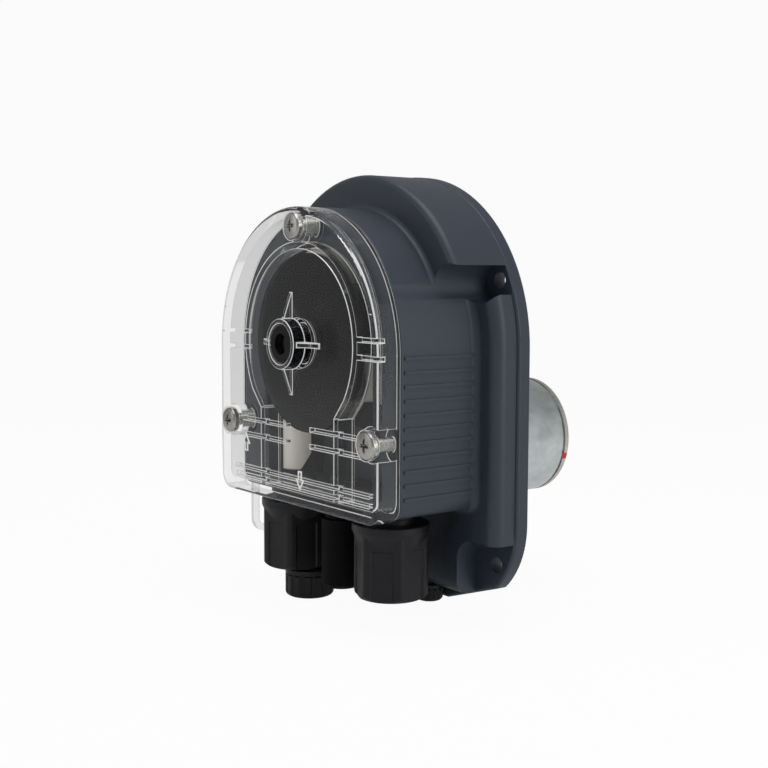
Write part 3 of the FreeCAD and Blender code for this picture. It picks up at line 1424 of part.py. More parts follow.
def make_gland_nut(tag, sign):
    return make_fluted_nut("gland_nut_" + tag, "gland_radius", GLAND_FLANGE + " - collet_gap",
                           "gland_bottom", GLAND_SLEEVE + " + run_gap",
                           "gland_bottom + gland_floor", "gland_bore", sign + "gland_x", "gland_depth")


def make_loop():
    body = new_body("hose_guide_loop")
    sketch = new_sketch(body, "loop_side", "YZ_Plane", "-loop_x")
    back, front = "-loop_back", "-loop_front"
    bar, top = "loop_bar", "head_bottom"
    add_polygon(sketch, [(front, top), (front, "loop_bottom"), (back, "loop_bottom"), (back, top),
                         (f"{back} - {bar}", top), (f"{back} - {bar}", f"loop_bottom + {bar}"),
                         (f"{front} + {bar}", f"loop_bottom + {bar}"), (f"{front} + {bar}", top)])
    extrude(body, "Pad", sketch, bar).Midplane = True
    doc.recompute()

    def corner_at(height):
        def keep_edge(edge):
            box = edge.BoundBox
            flat = box.ZMax - box.ZMin < 0.01 and box.YMax - box.YMin < 0.01
            return flat and abs(box.ZMin - height) < 0.01
        return keep_edge
    foot = value("loop_bottom")
    round_edges(body, "loop_round", corner_at(foot))
    round_edges(body, "loop_round - loop_bar", corner_at(foot + value("loop_bar")))
    return body


# Motor
def motor_step(label, profile):
    body = new_body(label)
    turn_profile(body, label + "_profile", profile)
    place(body, z="motor_rise")
    return body


MOTOR_BUSH = "(motor_shaft_radius + motor_bush_wall)"
CAP_END = "(motor_long + motor_cap_long)"


def make_motor_can():
    inside, neck = "motor_radius - motor_wall", "motor_radius - motor_groove_deep"
    body = motor_step("motor_can", [
        ("motor_boss_radius", "motor_boss_long"), (MOTOR_BUSH, "motor_boss_long"),
        (MOTOR_BUSH, "-motor_front_wall"), (inside, "-motor_front_wall"), (inside, "-motor_long"),
        (neck, "-motor_long"), (neck, "-(motor_long - motor_groove)"),
        ("motor_radius", "-(motor_long - motor_groove)"), ("motor_radius", "-motor_edge"),
        ("motor_radius - motor_edge", "0"), ("motor_boss_radius", "0")])
    circle_step(body, "Pocket", "motor_screw_holes", "past_face",
                [(sign + "motor_screw_x", "0", "motor_screw_radius + fit_gap") for _, sign in SIDES],
                "motor_front_wall + 2 * past_face")
    return body


TERMINALS = [(sign + "terminal_x", "-terminal_drop") for _, sign in SIDES]


def make_motor_cap():
    front, boss = "-(motor_long + cap_gap)", f"-({CAP_END} + cap_boss_long)"
    body = motor_step("motor_end_cap", [
        (MOTOR_BUSH, front), ("motor_radius", front), ("motor_radius", f"-({CAP_END} - cap_edge)"),
        ("motor_radius - cap_edge", f"-{CAP_END}"), ("cap_boss_radius", f"-{CAP_END}"),
        ("cap_boss_radius - cap_edge", boss), (MOTOR_BUSH, boss)])
    circle_step(body, "Pocket", "terminal_slots", "-motor_long",
                [(x, z, "terminal_radius + fit_gap") for x, z in TERMINALS],
                "motor_cap_long + past_face")
    slot = rim_box("motor_radius - motor_groove_deep", "motor_radius + past_face", "(tab_half + fit_gap)", "tab_degrees")
    polygon_step(body, "Pocket", "tab_slot", "-motor_long", [slot], "tab_long")
    return body


def rim_box(inner, outer, half, turn):
    """Small rectangle between two radii, turned about the axis by an angle in degrees."""
    return [(f"({r}) * cos({turn}) - ({t}) * sin({turn})", f"({r}) * sin({turn}) + ({t}) * cos({turn})")
            for r, t in ((inner, "-" + half), (outer, "-" + half), (outer, half), (inner, half))]


def make_polarity_tab():
    body = new_body("polarity_tab")
    outline = rim_box("motor_radius - motor_groove_deep + fit_gap", "motor_radius", "tab_half", "tab_degrees")
    polygon_step(body, "Pad", "tab_outline", "-(motor_long + tab_long - fit_gap)", [outline],
                 "tab_long + motor_groove - 2 * fit_gap")
    place(body, z="motor_rise")
    return body


def make_motor_bushes():
    inner = value("motor_shaft_radius") + value("run_gap")
    outer = number(MOTOR_BUSH) - value("fit_gap")
    end, play = number(CAP_END) + value("cap_boss_long"), value("shaft_end_gap")
    spans = ((-value("motor_front_wall"), value("motor_boss_long") - play),
             (play - end, value("past_face") - value("motor_long")))
    rings = [drum(outer, back, front).cut(drum(inner, back, front)) for back, front in spans]
    item = feature_of("motor_bushes", Part.makeCompound(rings))
    item.Placement.Base = V(0, 0, value("motor_rise"))
    return item


def make_motor_shaft():
    return rod_body("motor_shaft", "motor_shaft_radius", f"-({CAP_END} + cap_boss_long - shaft_end_gap)",
                    "pinion_front", "0", "motor_rise")


def make_armature():
    return ring_body("motor_armature", "motor_shaft_radius + fit_gap", "armature_radius",
                     "-(motor_long - armature_back_gap)", "-(motor_front_wall + armature_front_gap)",
                     z="motor_rise")


def make_magnets():
    return ring_body("motor_magnet_ring", "armature_radius + magnet_gap",
                     "motor_radius - motor_wall - fit_gap",
                     "-(motor_long - armature_back_gap - magnet_end_gap)",
                     "-(motor_front_wall + armature_front_gap + magnet_end_gap)", z="motor_rise")


def make_motor_screws():
    body = new_body("motor_screw_pattern")
    top = "plate_thick + motor_screw_head_high"
    turn_profile(body, "motor_screw_profile", [
        ("0", "-motor_screw_long"), ("motor_screw_radius", "-motor_screw_long"),
        ("motor_screw_radius", "plate_thick"), ("motor_screw_head", "plate_thick"),
        ("motor_screw_head", top), ("0", top)])
    return copy_to(body, "motor_screws", [(x, "0", z) for x, z in MOTOR_SCREWS])


def make_terminals():
    body = new_body("terminal_pattern")
    front, end = "-(motor_long + screw_clear)", f"-({CAP_END} + terminal_long)"
    slope = f"-({CAP_END} + terminal_long - terminal_tip)"
    turn_profile(body, "terminal_profile", [
        ("0", end), ("terminal_radius * 0.8", end), ("terminal_radius", slope),
        ("terminal_radius", front), ("0", front)])
    return copy_to(body, "motor_terminals", [(x, "0", f"motor_rise + ({z})") for x, z in TERMINALS])


def build_all():
    keep(make_housing())
    keep(make_back_plate())
    keep(make_plate_screws())
    keep(make_cover_seal())
    keep(make_cover())
    keep(make_cover_screws())
    keep(make_rotor_rear())
    keep(make_rotor_front())
    keep(make_pins())
    for index, spot in enumerate(roller_places(), start=1):
        keep(make_roller(index, spot))
    keep(make_rotor_screw())
    keep(make_output_shaft())
    keep(make_output_gear())
    bore = "shaft_radius + run_gap"
    keep(ring_body("output_bush", bore, "bush_outer", "bush_back", "bush_front"))
    keep(ring_body("shaft_seal", bore, "bush_outer", "seal_back", "seal_front"))
    keep(ring_body("plate_bush", bore, "plate_bush_outer", "shaft_back", "plate_boss_front"))
    keep(make_idler_axle())
    keep(make_idler())
    keep(make_tube())
    for tag, sign in SIDES:
        keep(make_adapter(tag, sign))
        keep(make_hose_nut(tag, sign))
        keep(make_gland_nut(tag, sign))
    keep(make_hose_collets())
    keep(make_small_adapter())
    keep(make_small_nut())
    keep(make_port_rings())
    keep(make_centre_plug())
    keep(make_gland_bodies())
    keep(make_gland_seals())
    keep(make_loop())
    keep(make_motor_can())
    keep(make_motor_cap())
    keep(make_motor_bushes())
    keep(make_motor_shaft())
    keep(make_motor_pinion())
    keep(make_armature())
    keep(make_magnets())
    keep(make_motor_screws())
    keep(make_terminals())
    keep(make_polarity_tab())


def check_all():
    if doc.getObject("Probe"):
        doc.removeObject("Probe")
    doc.recompute()
    for item in doc.Objects:
        if "Invalid" in item.State or "Error" in item.State:
            raise RuntimeError(f"{item.Name} failed: {item.State}")
    for item in PARTS:
        if item.Shape.isNull() or not item.Shape.isValid():
            raise RuntimeError(f"{item.Label} has no sound shape")


def export_all():
    os.makedirs("parts", exist_ok=True)
    for item in PARTS:
        item.Shape.exportStep(f"parts/{item.Label}.step")
        box = item.Shape.BoundBox
        print(f"{item.Label:22s} solids {len(item.Shape.Solids)} volume {item.Shape.Volume:10.1f} "
              f"x {box.XMin:6.1f} {box.XMax:6.1f} y {box.YMin:6.1f} {box.YMax:6.1f} "
              f"z {box.ZMin:6.1f} {box.ZMax:6.1f}")


build_all()
check_all()
export_all()
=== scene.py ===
"""Looks of the panel mounted dosing pump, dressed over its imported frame.

Everything is in metres in the frame's own axes: +Z up, the clear cover faces -Y and the motor
stands out towards +Y. Each operator dresses one piece or one group of like pieces.
"""
import json
import math

import bmesh
import bpy
import numpy as np
from bpy.props import FloatProperty, FloatVectorProperty, PointerProperty
from mathutils import Matrix, Vector


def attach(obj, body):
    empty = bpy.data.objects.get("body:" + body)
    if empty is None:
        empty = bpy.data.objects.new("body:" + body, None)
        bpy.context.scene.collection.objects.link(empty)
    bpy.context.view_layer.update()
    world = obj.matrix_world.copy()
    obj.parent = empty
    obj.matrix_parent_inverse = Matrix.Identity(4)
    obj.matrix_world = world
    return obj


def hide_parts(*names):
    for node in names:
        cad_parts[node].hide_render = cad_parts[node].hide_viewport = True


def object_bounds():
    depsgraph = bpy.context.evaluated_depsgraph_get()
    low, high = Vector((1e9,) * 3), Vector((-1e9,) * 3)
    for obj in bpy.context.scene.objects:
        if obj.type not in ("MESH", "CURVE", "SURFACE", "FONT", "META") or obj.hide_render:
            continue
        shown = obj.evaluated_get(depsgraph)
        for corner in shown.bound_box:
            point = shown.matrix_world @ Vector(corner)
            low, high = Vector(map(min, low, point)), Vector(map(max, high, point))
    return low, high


bl_info = {
    "name": "Dosing pump looks",
    "version": (1, 0, 0),
    "blender": (4, 5, 0),
    "location": "3D View > Sidebar > Dosing pump",
    "description": "Dresses the packed frame of a panel mounted dosing pump and sets its studio",
    "category": "Object",
}

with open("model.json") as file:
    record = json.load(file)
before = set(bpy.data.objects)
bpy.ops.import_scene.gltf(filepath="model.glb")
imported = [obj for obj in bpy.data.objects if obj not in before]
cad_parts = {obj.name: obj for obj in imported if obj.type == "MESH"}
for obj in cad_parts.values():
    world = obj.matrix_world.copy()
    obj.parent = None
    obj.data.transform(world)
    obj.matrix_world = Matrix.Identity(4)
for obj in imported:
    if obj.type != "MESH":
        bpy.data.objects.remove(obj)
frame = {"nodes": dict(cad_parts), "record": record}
CAD_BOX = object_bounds()

MM = 0.001
SMOOTH_ANGLE = math.radians(32)
SAME_PLANE = math.radians(0.2)
WELD = 0.5e-3 * MM
COVER_FACE = -51.0 * MM
ARCH_HEIGHT = 22.2 * MM
WHITE = (1.0, 1.0, 1.0, 1.0)
STEEL = (0.56, 0.57, 0.58)
CLEAR_IOR = 1.47


# Settings that a user would change
def colour(name, description, default):
    """Setting for a colour."""
    return FloatVectorProperty(name=name, description=description, default=default, size=3,
                               min=0.0, max=1.0, subtype="COLOR")


def length(name, description, default):
    """Setting for a length, in metres."""
    return FloatProperty(name=name, description=description, default=default, unit="LENGTH")


class FinishSettings(bpy.types.PropertyGroup):
    housing: colour("Housing", "Blue grey of the moulded housing", (0.023, 0.031, 0.045))
    housing_light: colour("Housing grain", "Lighter blue grey in the housing's grain", (0.036, 0.047, 0.066))
    black: colour("Black moulding", "Black of the nuts, adapters and glands", (0.0045, 0.0045, 0.006))
    rotor: colour("Rotor", "Glossy black of the rotor", (0.004, 0.0045, 0.006))
    clear: colour("Clear plastic", "Tint of the clear cover and loop", (0.88, 0.885, 0.88))
    tube: colour("Squeeze tube", "Cream of the squeeze tube", (0.92, 0.87, 0.79))
    zinc: colour("Zinc plate", "Grey of the plated motor can", (0.58, 0.64, 0.63))
    band: colour("End band", "Pale plate of the motor's end cap", (0.62, 0.57, 0.52))
    screw: colour("Screws", "Zinc of the screws", (0.40, 0.39, 0.37))
    red: colour("Red insulator", "Red of the tab and the terminals' bases", (0.45, 0.03, 0.025))
    grain: length("Grain", "Size of the grain moulded into the housing", 0.45 * MM)


class StageSettings(bpy.types.PropertyGroup):
    azimuth: FloatProperty(name="Azimuth", description="Camera's turn from the cover's front to the right",
                           default=math.radians(52.934), subtype="ANGLE")
    elevation: FloatProperty(name="Elevation", description="Camera's height above the level",
                             default=math.radians(5.171), subtype="ANGLE")
    roll: FloatProperty(name="Roll", description="Camera's turn about its own line of sight",
                        default=math.radians(0.215), subtype="ANGLE")
    distance: length("Distance", "From the cover's arch centre back along the line of sight", 390.06 * MM)
    slide: length("Slide", "Camera's shift to its right", 29.35 * MM)
    lift: length("Lift", "Camera's shift upwards", -10.725 * MM)
    lens: FloatProperty(name="Lens", description="Focal length on a 36 mm sensor, in millimetres",
                        default=57.92, unit="CAMERA")
    key: FloatProperty(name="Key light", description="Power of the large lamp overhead", default=2.6,
                       unit="POWER")
    side: FloatProperty(name="Side light", description="Power of the strip lamp on the right", default=1.5,
                        unit="POWER")
    front: FloatProperty(name="Front light", description="Power of the lamp in front on the left",
                         default=0.5, unit="POWER")
    ambient: FloatProperty(name="Ambient", description="Strength of the even light all round", default=0.30)


# Shader arithmetic: Flow wraps a socket, and Net makes the nodes
class Flow:
    """A node's output that takes part in ordinary arithmetic; each step adds a Math node."""

    def __init__(self, net, socket):
        self.net = net
        self.socket = socket

    def step(self, operation, *terms):
        """A Math node with its terms in order."""
        return self.net.node("Math", {"operation": operation}, dict(enumerate(terms)))

    def most(self, other):
        """The larger of two values."""
        return self.step("MAXIMUM", self, other)

    def __add__(self, other):
        return self.step("ADD", self, other)

    def __radd__(self, other):
        return self.step("ADD", other, self)

    def __sub__(self, other):
        return self.step("SUBTRACT", self, other)

    def __rsub__(self, other):
        return self.step("SUBTRACT", other, self)

    def __mul__(self, other):
        return self.step("MULTIPLY", self, other)

    def __rmul__(self, other):
        return self.step("MULTIPLY", other, self)

    def above(self, edge, soft):
        """Smooth step from 0 to 1 as the value passes the edge, over the width soft."""
        return self.net.node("MapRange", {"interpolation_type": "SMOOTHSTEP"},
                             {"Value": self, "From Min": edge - soft / 2, "From Max": edge + soft / 2})


class Net:
    """The nodes of one material, or of a world where the kind says so."""

    def __init__(self, name, kind="materials"):
        self.block = getattr(bpy.data, kind).new(name)
        self.block.use_nodes = True
        self.tree = self.block.node_tree
        self.tree.nodes.clear()

    def node(self, kind, settings=None, inputs=None, out=0):
        """Any shader node: its settings first, then the values or links of its sockets."""
        item = self.tree.nodes.new("ShaderNode" + kind)
        for key, content in (settings or {}).items():
            setattr(item, key, content)
        for key, content in (inputs or {}).items():
            if isinstance(content, Flow):
                self.tree.links.new(content.socket, item.inputs[key])
            else:
                item.inputs[key].default_value = content
        return Flow(self, item.outputs[out]) if len(item.outputs) else item

    def at(self, stretch=(1, 1, 1)):
        """The piece's own coordinates in metres, stretched for a pattern with a direction."""
        where = self.node("TexCoord", out="Object")
        return self.node("Mapping", inputs={"Vector": where, "Scale": stretch})

    def noise(self, size, detail=3.0, roughness=0.55, stretch=(1, 1, 1)):
        """Noise with features of about a size, in metres."""
        return self.node("TexNoise", inputs={"Vector": self.at(stretch), "Scale": 1.0 / size,
                                             "Detail": detail, "Roughness": roughness})

    def blend(self, share, low, high):
        """Colour between low and high by a share from 0 to 1."""
        inputs = {0: share, 6: tint(low), 7: tint(high)}
        return self.node("Mix", {"data_type": "RGBA"}, inputs, out=2)

    def bump(self, height, distance, strength=1.0):
        """Normal that leans as a height, times a distance in metres, rises."""
        return self.node("Bump", inputs={"Height": height, "Distance": distance, "Strength": strength})

    def principled(self, **inputs):
        """The material with one Principled BSDF; a socket's name is written with low lines for spaces."""
        named = {key.replace("_", " "): content for key, content in inputs.items()}
        return self.end(self.node("BsdfPrincipled", inputs=named))

    def end(self, shader, output="OutputMaterial"):
        """Link the shader to the output and give the finished material or world back."""
        self.node(output, inputs={"Surface": shader})
        return self.block


def tint(tone):
    """A colour's three numbers with a fourth, or a link as it is."""
    return tone if isinstance(tone, Flow) else (*tone, 1.0)


# Finishes
def moulded(name, dark, light, grain, roughness, depth=0.018 * MM, specular=0.42):
    """Fine moulded grain: two close tones and a shallow bump, smoother on the grain's crests."""
    net = Net(name)
    fine = net.noise(grain, detail=2.0)
    broad = net.noise(grain * 60, detail=2.0)
    tone = net.blend(fine * 0.6 + broad * 0.4, dark, light)
    return net.principled(Base_Color=tone, Roughness=roughness + 0.16 * (fine - 0.5),
                          Normal=net.bump(fine, depth), Specular_IOR_Level=specular)


def polished(name, tone, roughness=0.12):
    """Glossy moulding with faint waves and a trace of wear."""
    net = Net(name)
    wave = net.noise(9 * MM, detail=2.0)
    dust = net.noise(0.9 * MM, detail=5.0, roughness=0.7)
    return net.principled(Base_Color=net.blend(dust.above(0.62, 0.1) * 0.10, tone, (0.2, 0.2, 0.21)),
                          Roughness=roughness + 0.10 * wave, Specular_IOR_Level=0.14,
                          Normal=net.bump(wave, 0.05 * MM, 0.4))


# Least share of a face's normal along Y for a flat front, and the share of light that leaves unbent
FLAT_FRONT = 0.995
UNBENT_EXIT = 0.75


def clear_moulding(name, tone, sheet, ior):
    """Clear polished plastic with faint flow waves. By the share sheet, a flat front is a thin sheet:
    light passes straight through it and only its outer side shines. Most light leaves the plastic
    unbent, and lamps reach through all of it."""
    net = Net(name)
    wave = net.noise(7 * MM, detail=2.0)
    bump = net.bump(wave, 0.02 * MM, 0.5)
    body = net.node("BsdfPrincipled", inputs={
        "Base Color": (*tone, 1.0), "Roughness": 0.03 + 0.05 * wave, "IOR": ior,
        "Transmission Weight": 1.0, "Normal": bump})
    depth = net.node("SeparateXYZ", inputs={0: net.node("NewGeometry", out=3)}, out=1)
    flat = sheet * depth.step("ABSOLUTE", depth).above(FLAT_FRONT, 0.006)
    shadow = net.node("LightPath", out="Is Shadow Ray")
    inside = net.node("NewGeometry", out="Backfacing")
    outer = 1.0 - shadow.most(inside)
    shine = net.node("Fresnel", inputs={"IOR": ior, "Normal": bump}) * outer
    open_way = net.node("BsdfTransparent", inputs={"Color": (*(c ** 0.5 for c in tone), 1.0)})
    gloss = net.node("BsdfGlossy", inputs={"Color": WHITE, "Roughness": 0.05, "Normal": bump})
    thin = net.node("MixShader", inputs={0: shine * flat, 1: open_way, 2: gloss})
    straight = flat.most(shadow).most(UNBENT_EXIT * inside)
    return net.end(net.node("MixShader", inputs={0: straight, 1: body, 2: thin}))


def painted_edge_highlight(name):
    """Rounded edge of clear plastic: it scatters part of the light, and its whitish colour and faint
    emission are a painted highlight and glow, so it shows as a pale line.
    """
    net = Net(name)
    cloud = net.noise(3 * MM, detail=2.0)
    # Painted highlight: a whitish colour plus a faint emission glow that no lamp gives
    return net.principled(Base_Color=net.blend(cloud, (0.78, 0.78, 0.76), (0.92, 0.92, 0.91)),
                          Roughness=0.2 + 0.1 * cloud, Transmission_Weight=0.25, IOR=CLEAR_IOR,
                          Emission_Color=(0.9, 0.9, 0.88, 1.0), Emission_Strength=0.14)


def plated(name, tone, along="Y", roughness=0.34, mottle=0.35):
    """Zinc plate on drawn steel: cloudy spangle, streaks along the draw and faint dull spots."""
    net = Net(name)
    stretch = {"X": (0.12, 1, 1), "Y": (1, 0.12, 1), "Z": (1, 1, 0.12)}[along]
    cloud = net.noise(9 * MM, detail=4.0)
    spangle = net.noise(2.2 * MM, detail=2.0)
    streak = net.noise(0.5 * MM, detail=2.0, stretch=stretch)
    dull = tuple(c * (1 - mottle) for c in tone)
    bright = tuple(min(1.0, c * (1 + mottle * 0.8)) for c in tone)
    share = (cloud * 0.7 + spangle * 0.3).above(0.5, 0.35)
    return net.principled(Base_Color=net.blend(share, dull, bright), Metallic=1.0,
                          Roughness=roughness + 0.22 * (cloud - 0.5) + 0.06 * (streak - 0.5),
                          Normal=net.bump(streak, 0.004 * MM, 0.6))


def turned(name, tone, roughness=0.22):
    """Machined metal: fine rings from the cutter and a little tarnish."""
    net = Net(name)
    tarnish = net.noise(2.5 * MM, detail=3.0)
    ring = net.noise(0.12 * MM, detail=1.0, stretch=(0.2, 1, 0.2))
    dark = tuple(c * 0.72 for c in tone)
    return net.principled(Base_Color=net.blend(tarnish, dark, tone), Metallic=1.0,
                          Roughness=roughness + 0.14 * tarnish, Normal=net.bump(ring, 0.004 * MM, 0.5))


def rubbery(name, tone=(0.02, 0.02, 0.02), light=(0.03, 0.03, 0.03), roughness=0.5, painted_glow=0.0):
    """Extruded rubber: slight bloom in patches and fine lines along the tube. Milky rubber may carry a
    painted glow, an emission with no lamp, that stands in for the light it passes on."""
    net = Net(name)
    bloom = net.noise(5 * MM, detail=3.0)
    line = net.noise(0.35 * MM, detail=2.0, stretch=(1, 1, 0.15))
    return net.principled(Base_Color=net.blend(bloom, tone, light), Roughness=roughness + 0.12 * line,
                          Normal=net.bump(line, 0.01 * MM, 0.5),
                          Emission_Color=(*light, 1.0), Emission_Strength=painted_glow)


# Dressing CAD nodes
def smooth_mesh(mesh):
    """Smooth faces that keep their sharp edges."""
    mesh.shade_smooth()
    mesh.set_sharp_from_angle(angle=SMOOTH_ANGLE)


def new_piece(name, mesh, finish, body, slot, *nodes):
    """Put a mesh in the scene in its finish, on its CAD body and in place of the named nodes. Normals
    weighted by area keep its flat faces flat."""
    piece = bpy.data.objects.new(name, mesh)
    bpy.context.scene.collection.objects.link(piece)
    mesh.materials.clear()
    mesh.materials.append(finish)
    weigh = piece.modifiers.new("Even shading", "WEIGHTED_NORMAL")
    weigh.keep_sharp = True
    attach(piece, body)
    if nodes:
        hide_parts(*nodes)
    return piece


def welded(node, reshape=None):
    """Copy of a CAD node's mesh with its loose triangles joined at shared corners. A function reshape
    may move corners first; triangles that it brings down to a point or a line are dropped."""
    source = frame["nodes"][node].data
    corners = np.empty(len(source.vertices) * 3, np.float32)
    source.vertices.foreach_get("co", corners)
    faces = np.empty(len(source.loops), np.int32)
    source.loops.foreach_get("vertex_index", faces)
    corners = corners.reshape(-1, 3)
    if reshape:
        reshape(corners)
    keys = np.round(corners / WELD).astype(np.int64)
    _, first, label = np.unique(keys, axis=0, return_index=True, return_inverse=True)
    faces = label.ravel()[faces].reshape(-1, 3)
    whole = (faces[:, 0] != faces[:, 1]) & (faces[:, 1] != faces[:, 2]) & (faces[:, 2] != faces[:, 0])
    mesh = bpy.data.meshes.new(node + "_shape")
    mesh.from_pydata(corners[first], [], faces[whole])
    mesh.update()
    return mesh


RECORD_SLOT = {part["node"]: part["material_slot"] for part in frame["record"]["subparts"]}
BODY_OF = {node: body for body, nodes in frame["record"]["behaviour"]["bodies"].items() for node in nodes}


def dress(node, finish, ease=0.0, edge_finish=None, mesh=None):
    """A smooth copy of one CAD node, or a mesh of it, in its finish. Ease rounds its sharp edges by that
    width, in a finish of their own where one is given."""
    mesh = mesh or welded(node)
    if ease:
        join_flat_faces(mesh)
    smooth_mesh(mesh)
    piece = new_piece("dressed_" + node, mesh, finish, BODY_OF[node], RECORD_SLOT[node], node)
    if ease:
        edge = piece.modifiers.new("Eased edges", "BEVEL")
        edge.width = ease
        edge.segments = 2
        edge.limit_method = "ANGLE"
        edge.angle_limit = SMOOTH_ANGLE
        edge.harden_normals = True
        edge.use_clamp_overlap = edge_finish is None
        if edge_finish:
            mesh.materials.append(edge_finish)
            edge.material = 1
        piece.modifiers.move(1, 0)
    return piece


def join_flat_faces(mesh):
    """Triangles that lie in one plane become one face, so an eased edge has room on both sides."""
    shape = bmesh.new()
    shape.from_mesh(mesh)
    bmesh.ops.dissolve_limit(shape, angle_limit=SAME_PLANE, verts=shape.verts, edges=shape.edges)
    shape.to_mesh(mesh)
    shape.free()


# Worked-out surfaces
def grid_mesh(name, points, closed_u=False, closed_v=False):
    """Quads over a grid of points (rows, columns, 3); each way may close on itself."""
    rows, columns = points.shape[:2]
    index = np.arange(rows * columns).reshape(rows, columns)
    if closed_u:
        index = np.vstack([index, index[:1]])
    if closed_v:
        index = np.hstack([index, index[:, :1]])
    quads = np.stack([index[:-1, :-1], index[1:, :-1], index[1:, 1:], index[:-1, 1:]], -1)
    mesh = bpy.data.meshes.new(name)
    mesh.from_pydata(points.reshape(-1, 3), [], quads.reshape(-1, 4))
    mesh.update()
    return mesh


def node_box(node):
    """Lowest and highest corner of a CAD node, in metres."""
    corners = np.array([tuple(corner) for corner in frame["nodes"][node].bound_box])
    return corners.min(0), corners.max(0)


def soft_step(distance, width):
    """0 below zero, 1 above the width, and 3t^2 - 2t^3 between them."""
    t = np.clip(distance / width, 0, 1)
    return t * t * (3 - 2 * t)


def quarter(distance, radius):
    """How far a quarter round of a radius stands back at a distance from its end face."""
    t = np.clip(1 - distance / radius, 0, 1)
    return radius * (1 - np.sqrt(1 - t * t))


def turned_angles(count):
    """A row of even angles round the circle."""
    return np.linspace(0, 2 * np.pi, count, endpoint=False)[None, :]


def around(radius, height, centre, angles):
    """Points at a radius and height round a vertical axis; columns follow the angles."""
    x, y = radius * np.cos(angles), radius * np.sin(angles)
    return np.stack([centre[0] + x, centre[1] + y, height + 0 * radius], -1)


def bored(outer, heights, steps, centre, angles):
    """Closed ring: the outer radii from top to foot, then the bore's (radius, height) steps back up."""
    inside = [around(np.full((1, angles.size), r), z, centre, angles) for r, z in steps]
    return np.concatenate([around(outer, heights, centre, angles), *inside])


# Half the width across flats, heights of collar, cone and foot from the top down, rounding of the top,
# half width and depth of the panels, and the inside: room, floor's thickness, hole and its mouth
HOSE_NUT = {"flat": 10.6 * MM, "collar": 1.9 * MM, "cone": 5.6 * MM, "foot": 3.4 * MM, "round": 0.8 * MM,
            "panel": 3.7 * MM, "sunk": 0.5 * MM, "step": 0.25 * MM, "corner": 0.35 * MM, "eased": 0.7 * MM,
            "room": 7.66 * MM, "floor": 3.6 * MM, "hole": 4.2 * MM, "mouth": 0.4 * MM}


def hose_nut_mesh(node, turn):
    """Hexagon, flat / cos(angle from the flat's middle), with its corners eased, its panels sunk by a
    soft step, widened to the cone and collar above and held inside the quarter round of its foot."""
    n = HOSE_NUT
    low, high = node_box(node)
    centre, rim = (low + high) / 2, (high[0] - low[0]) / 2
    shoulder = high[2] - n["collar"]
    panel_top = shoulder - n["cone"]
    angles = turned_angles(504)
    z = np.concatenate([np.linspace(high[2], high[2] - n["round"], 8),
                        np.linspace(high[2] - n["round"] - 0.2 * MM, panel_top + 0.4 * MM, 26),
                        np.linspace(panel_top + 0.3 * MM, panel_top - 0.4 * MM, 8),
                        np.linspace(panel_top - 0.6 * MM, low[2] + n["foot"], 20),
                        low[2] + n["foot"] * np.linspace(0.96, 0, 22) ** 2])[:, None]
    slope = np.mod(angles - turn, np.pi / 3) - np.pi / 6
    flat = n["flat"] / np.cos(slope)
    flat = flat - n["corner"] * soft_step(flat - rim + n["eased"], n["eased"]) + 0 * z
    across = np.abs(n["flat"] * np.tan(slope))
    sunk = soft_step(n["panel"] - across, n["step"]) * soft_step(panel_top - z, 0.3 * MM)
    radius = flat - n["sunk"] * sunk
    share = np.clip((z - panel_top) / n["cone"], 0, 1)
    cone = n["flat"] - n["sunk"] + (rim - n["flat"] + n["sunk"]) * share
    radius = np.where(z > panel_top, np.maximum(radius, cone), radius)
    radius = np.minimum(radius, rim - quarter(high[2] - z, n["round"]))
    radius = np.minimum(radius, n["flat"] / math.cos(math.pi / 6) - quarter(z - low[2], n["foot"]))
    floor = low[2] + n["floor"]
    steps = [(n["hole"] + n["mouth"], low[2]), (n["hole"], low[2] + n["mouth"]), (n["hole"], floor),
             (n["room"], floor), (n["room"], high[2])]
    return grid_mesh(node + "_shape", bored(radius, z, steps, centre, angles), closed_u=True, closed_v=True)


# Flutes' number, radius and depth, the roundings at top and foot, and the mouth of the hole
FLUTED_NUT = {"flutes": 14, "flute": 0.8 * MM, "deep": 0.44 * MM, "top": 0.4 * MM, "foot": 1.6 * MM,
              "mouth": 0.3 * MM}


def fluted_nut_mesh(node, room, hole, floor):
    """Round nut. Each flute is the near side of a circle that stands outside the rim; the top has a
    small quarter round and the foot a larger one. Inside are the room over the floor and the hole
    below it, given by their radii and the floor's height."""
    n = FLUTED_NUT
    low, high = node_box(node)
    centre, rim = (low + high) / 2, (high[0] - low[0]) / 2
    angles = turned_angles(n["flutes"] * 26)
    z = np.concatenate([high[2] - n["top"] * np.linspace(0, 1, 6) ** 2,
                        np.linspace(high[2] - 0.8 * MM, low[2] + 1.7 * MM, 8),
                        low[2] + n["foot"] * np.linspace(1, 0, 14) ** 2])[:, None]
    pitch = 2 * np.pi / n["flutes"]
    slope = np.mod(angles + pitch / 2, pitch) - pitch / 2
    far = rim + n["flute"] - n["deep"]
    reach = np.sqrt(np.clip(n["flute"] ** 2 - (far * np.sin(slope)) ** 2, 0, None))
    cut = np.where(reach > 0, far * np.cos(slope) - reach, rim)
    radius = np.minimum(np.minimum(rim, cut), rim - quarter(high[2] - z, n["top"]))
    radius = np.minimum(radius, rim - quarter(z - low[2], n["foot"]))
    steps = [(hole + n["mouth"], low[2]), (hole, low[2] + n["mouth"]), (hole, floor),
             (room, floor), (room, high[2])]
    return grid_mesh(node + "_shape", bored(radius, z, steps, centre, angles), closed_u=True, closed_v=True)


# Radius, height, dome and edge of the head, half width, reach and depth of the cross, then the shank's
# radius, the thread's pitch and depth and the tip's radius
SCREW = {"head": 4.2 * MM, "high": 2.6 * MM, "dome": 0.45 * MM, "edge": 0.7 * MM, "cross": 0.55 * MM,
         "reach": 2.3 * MM, "deep": 1.5 * MM, "shank": 2.0 * MM, "pitch": 0.7 * MM, "thread": 0.34 * MM,
         "tip": 1.2 * MM}


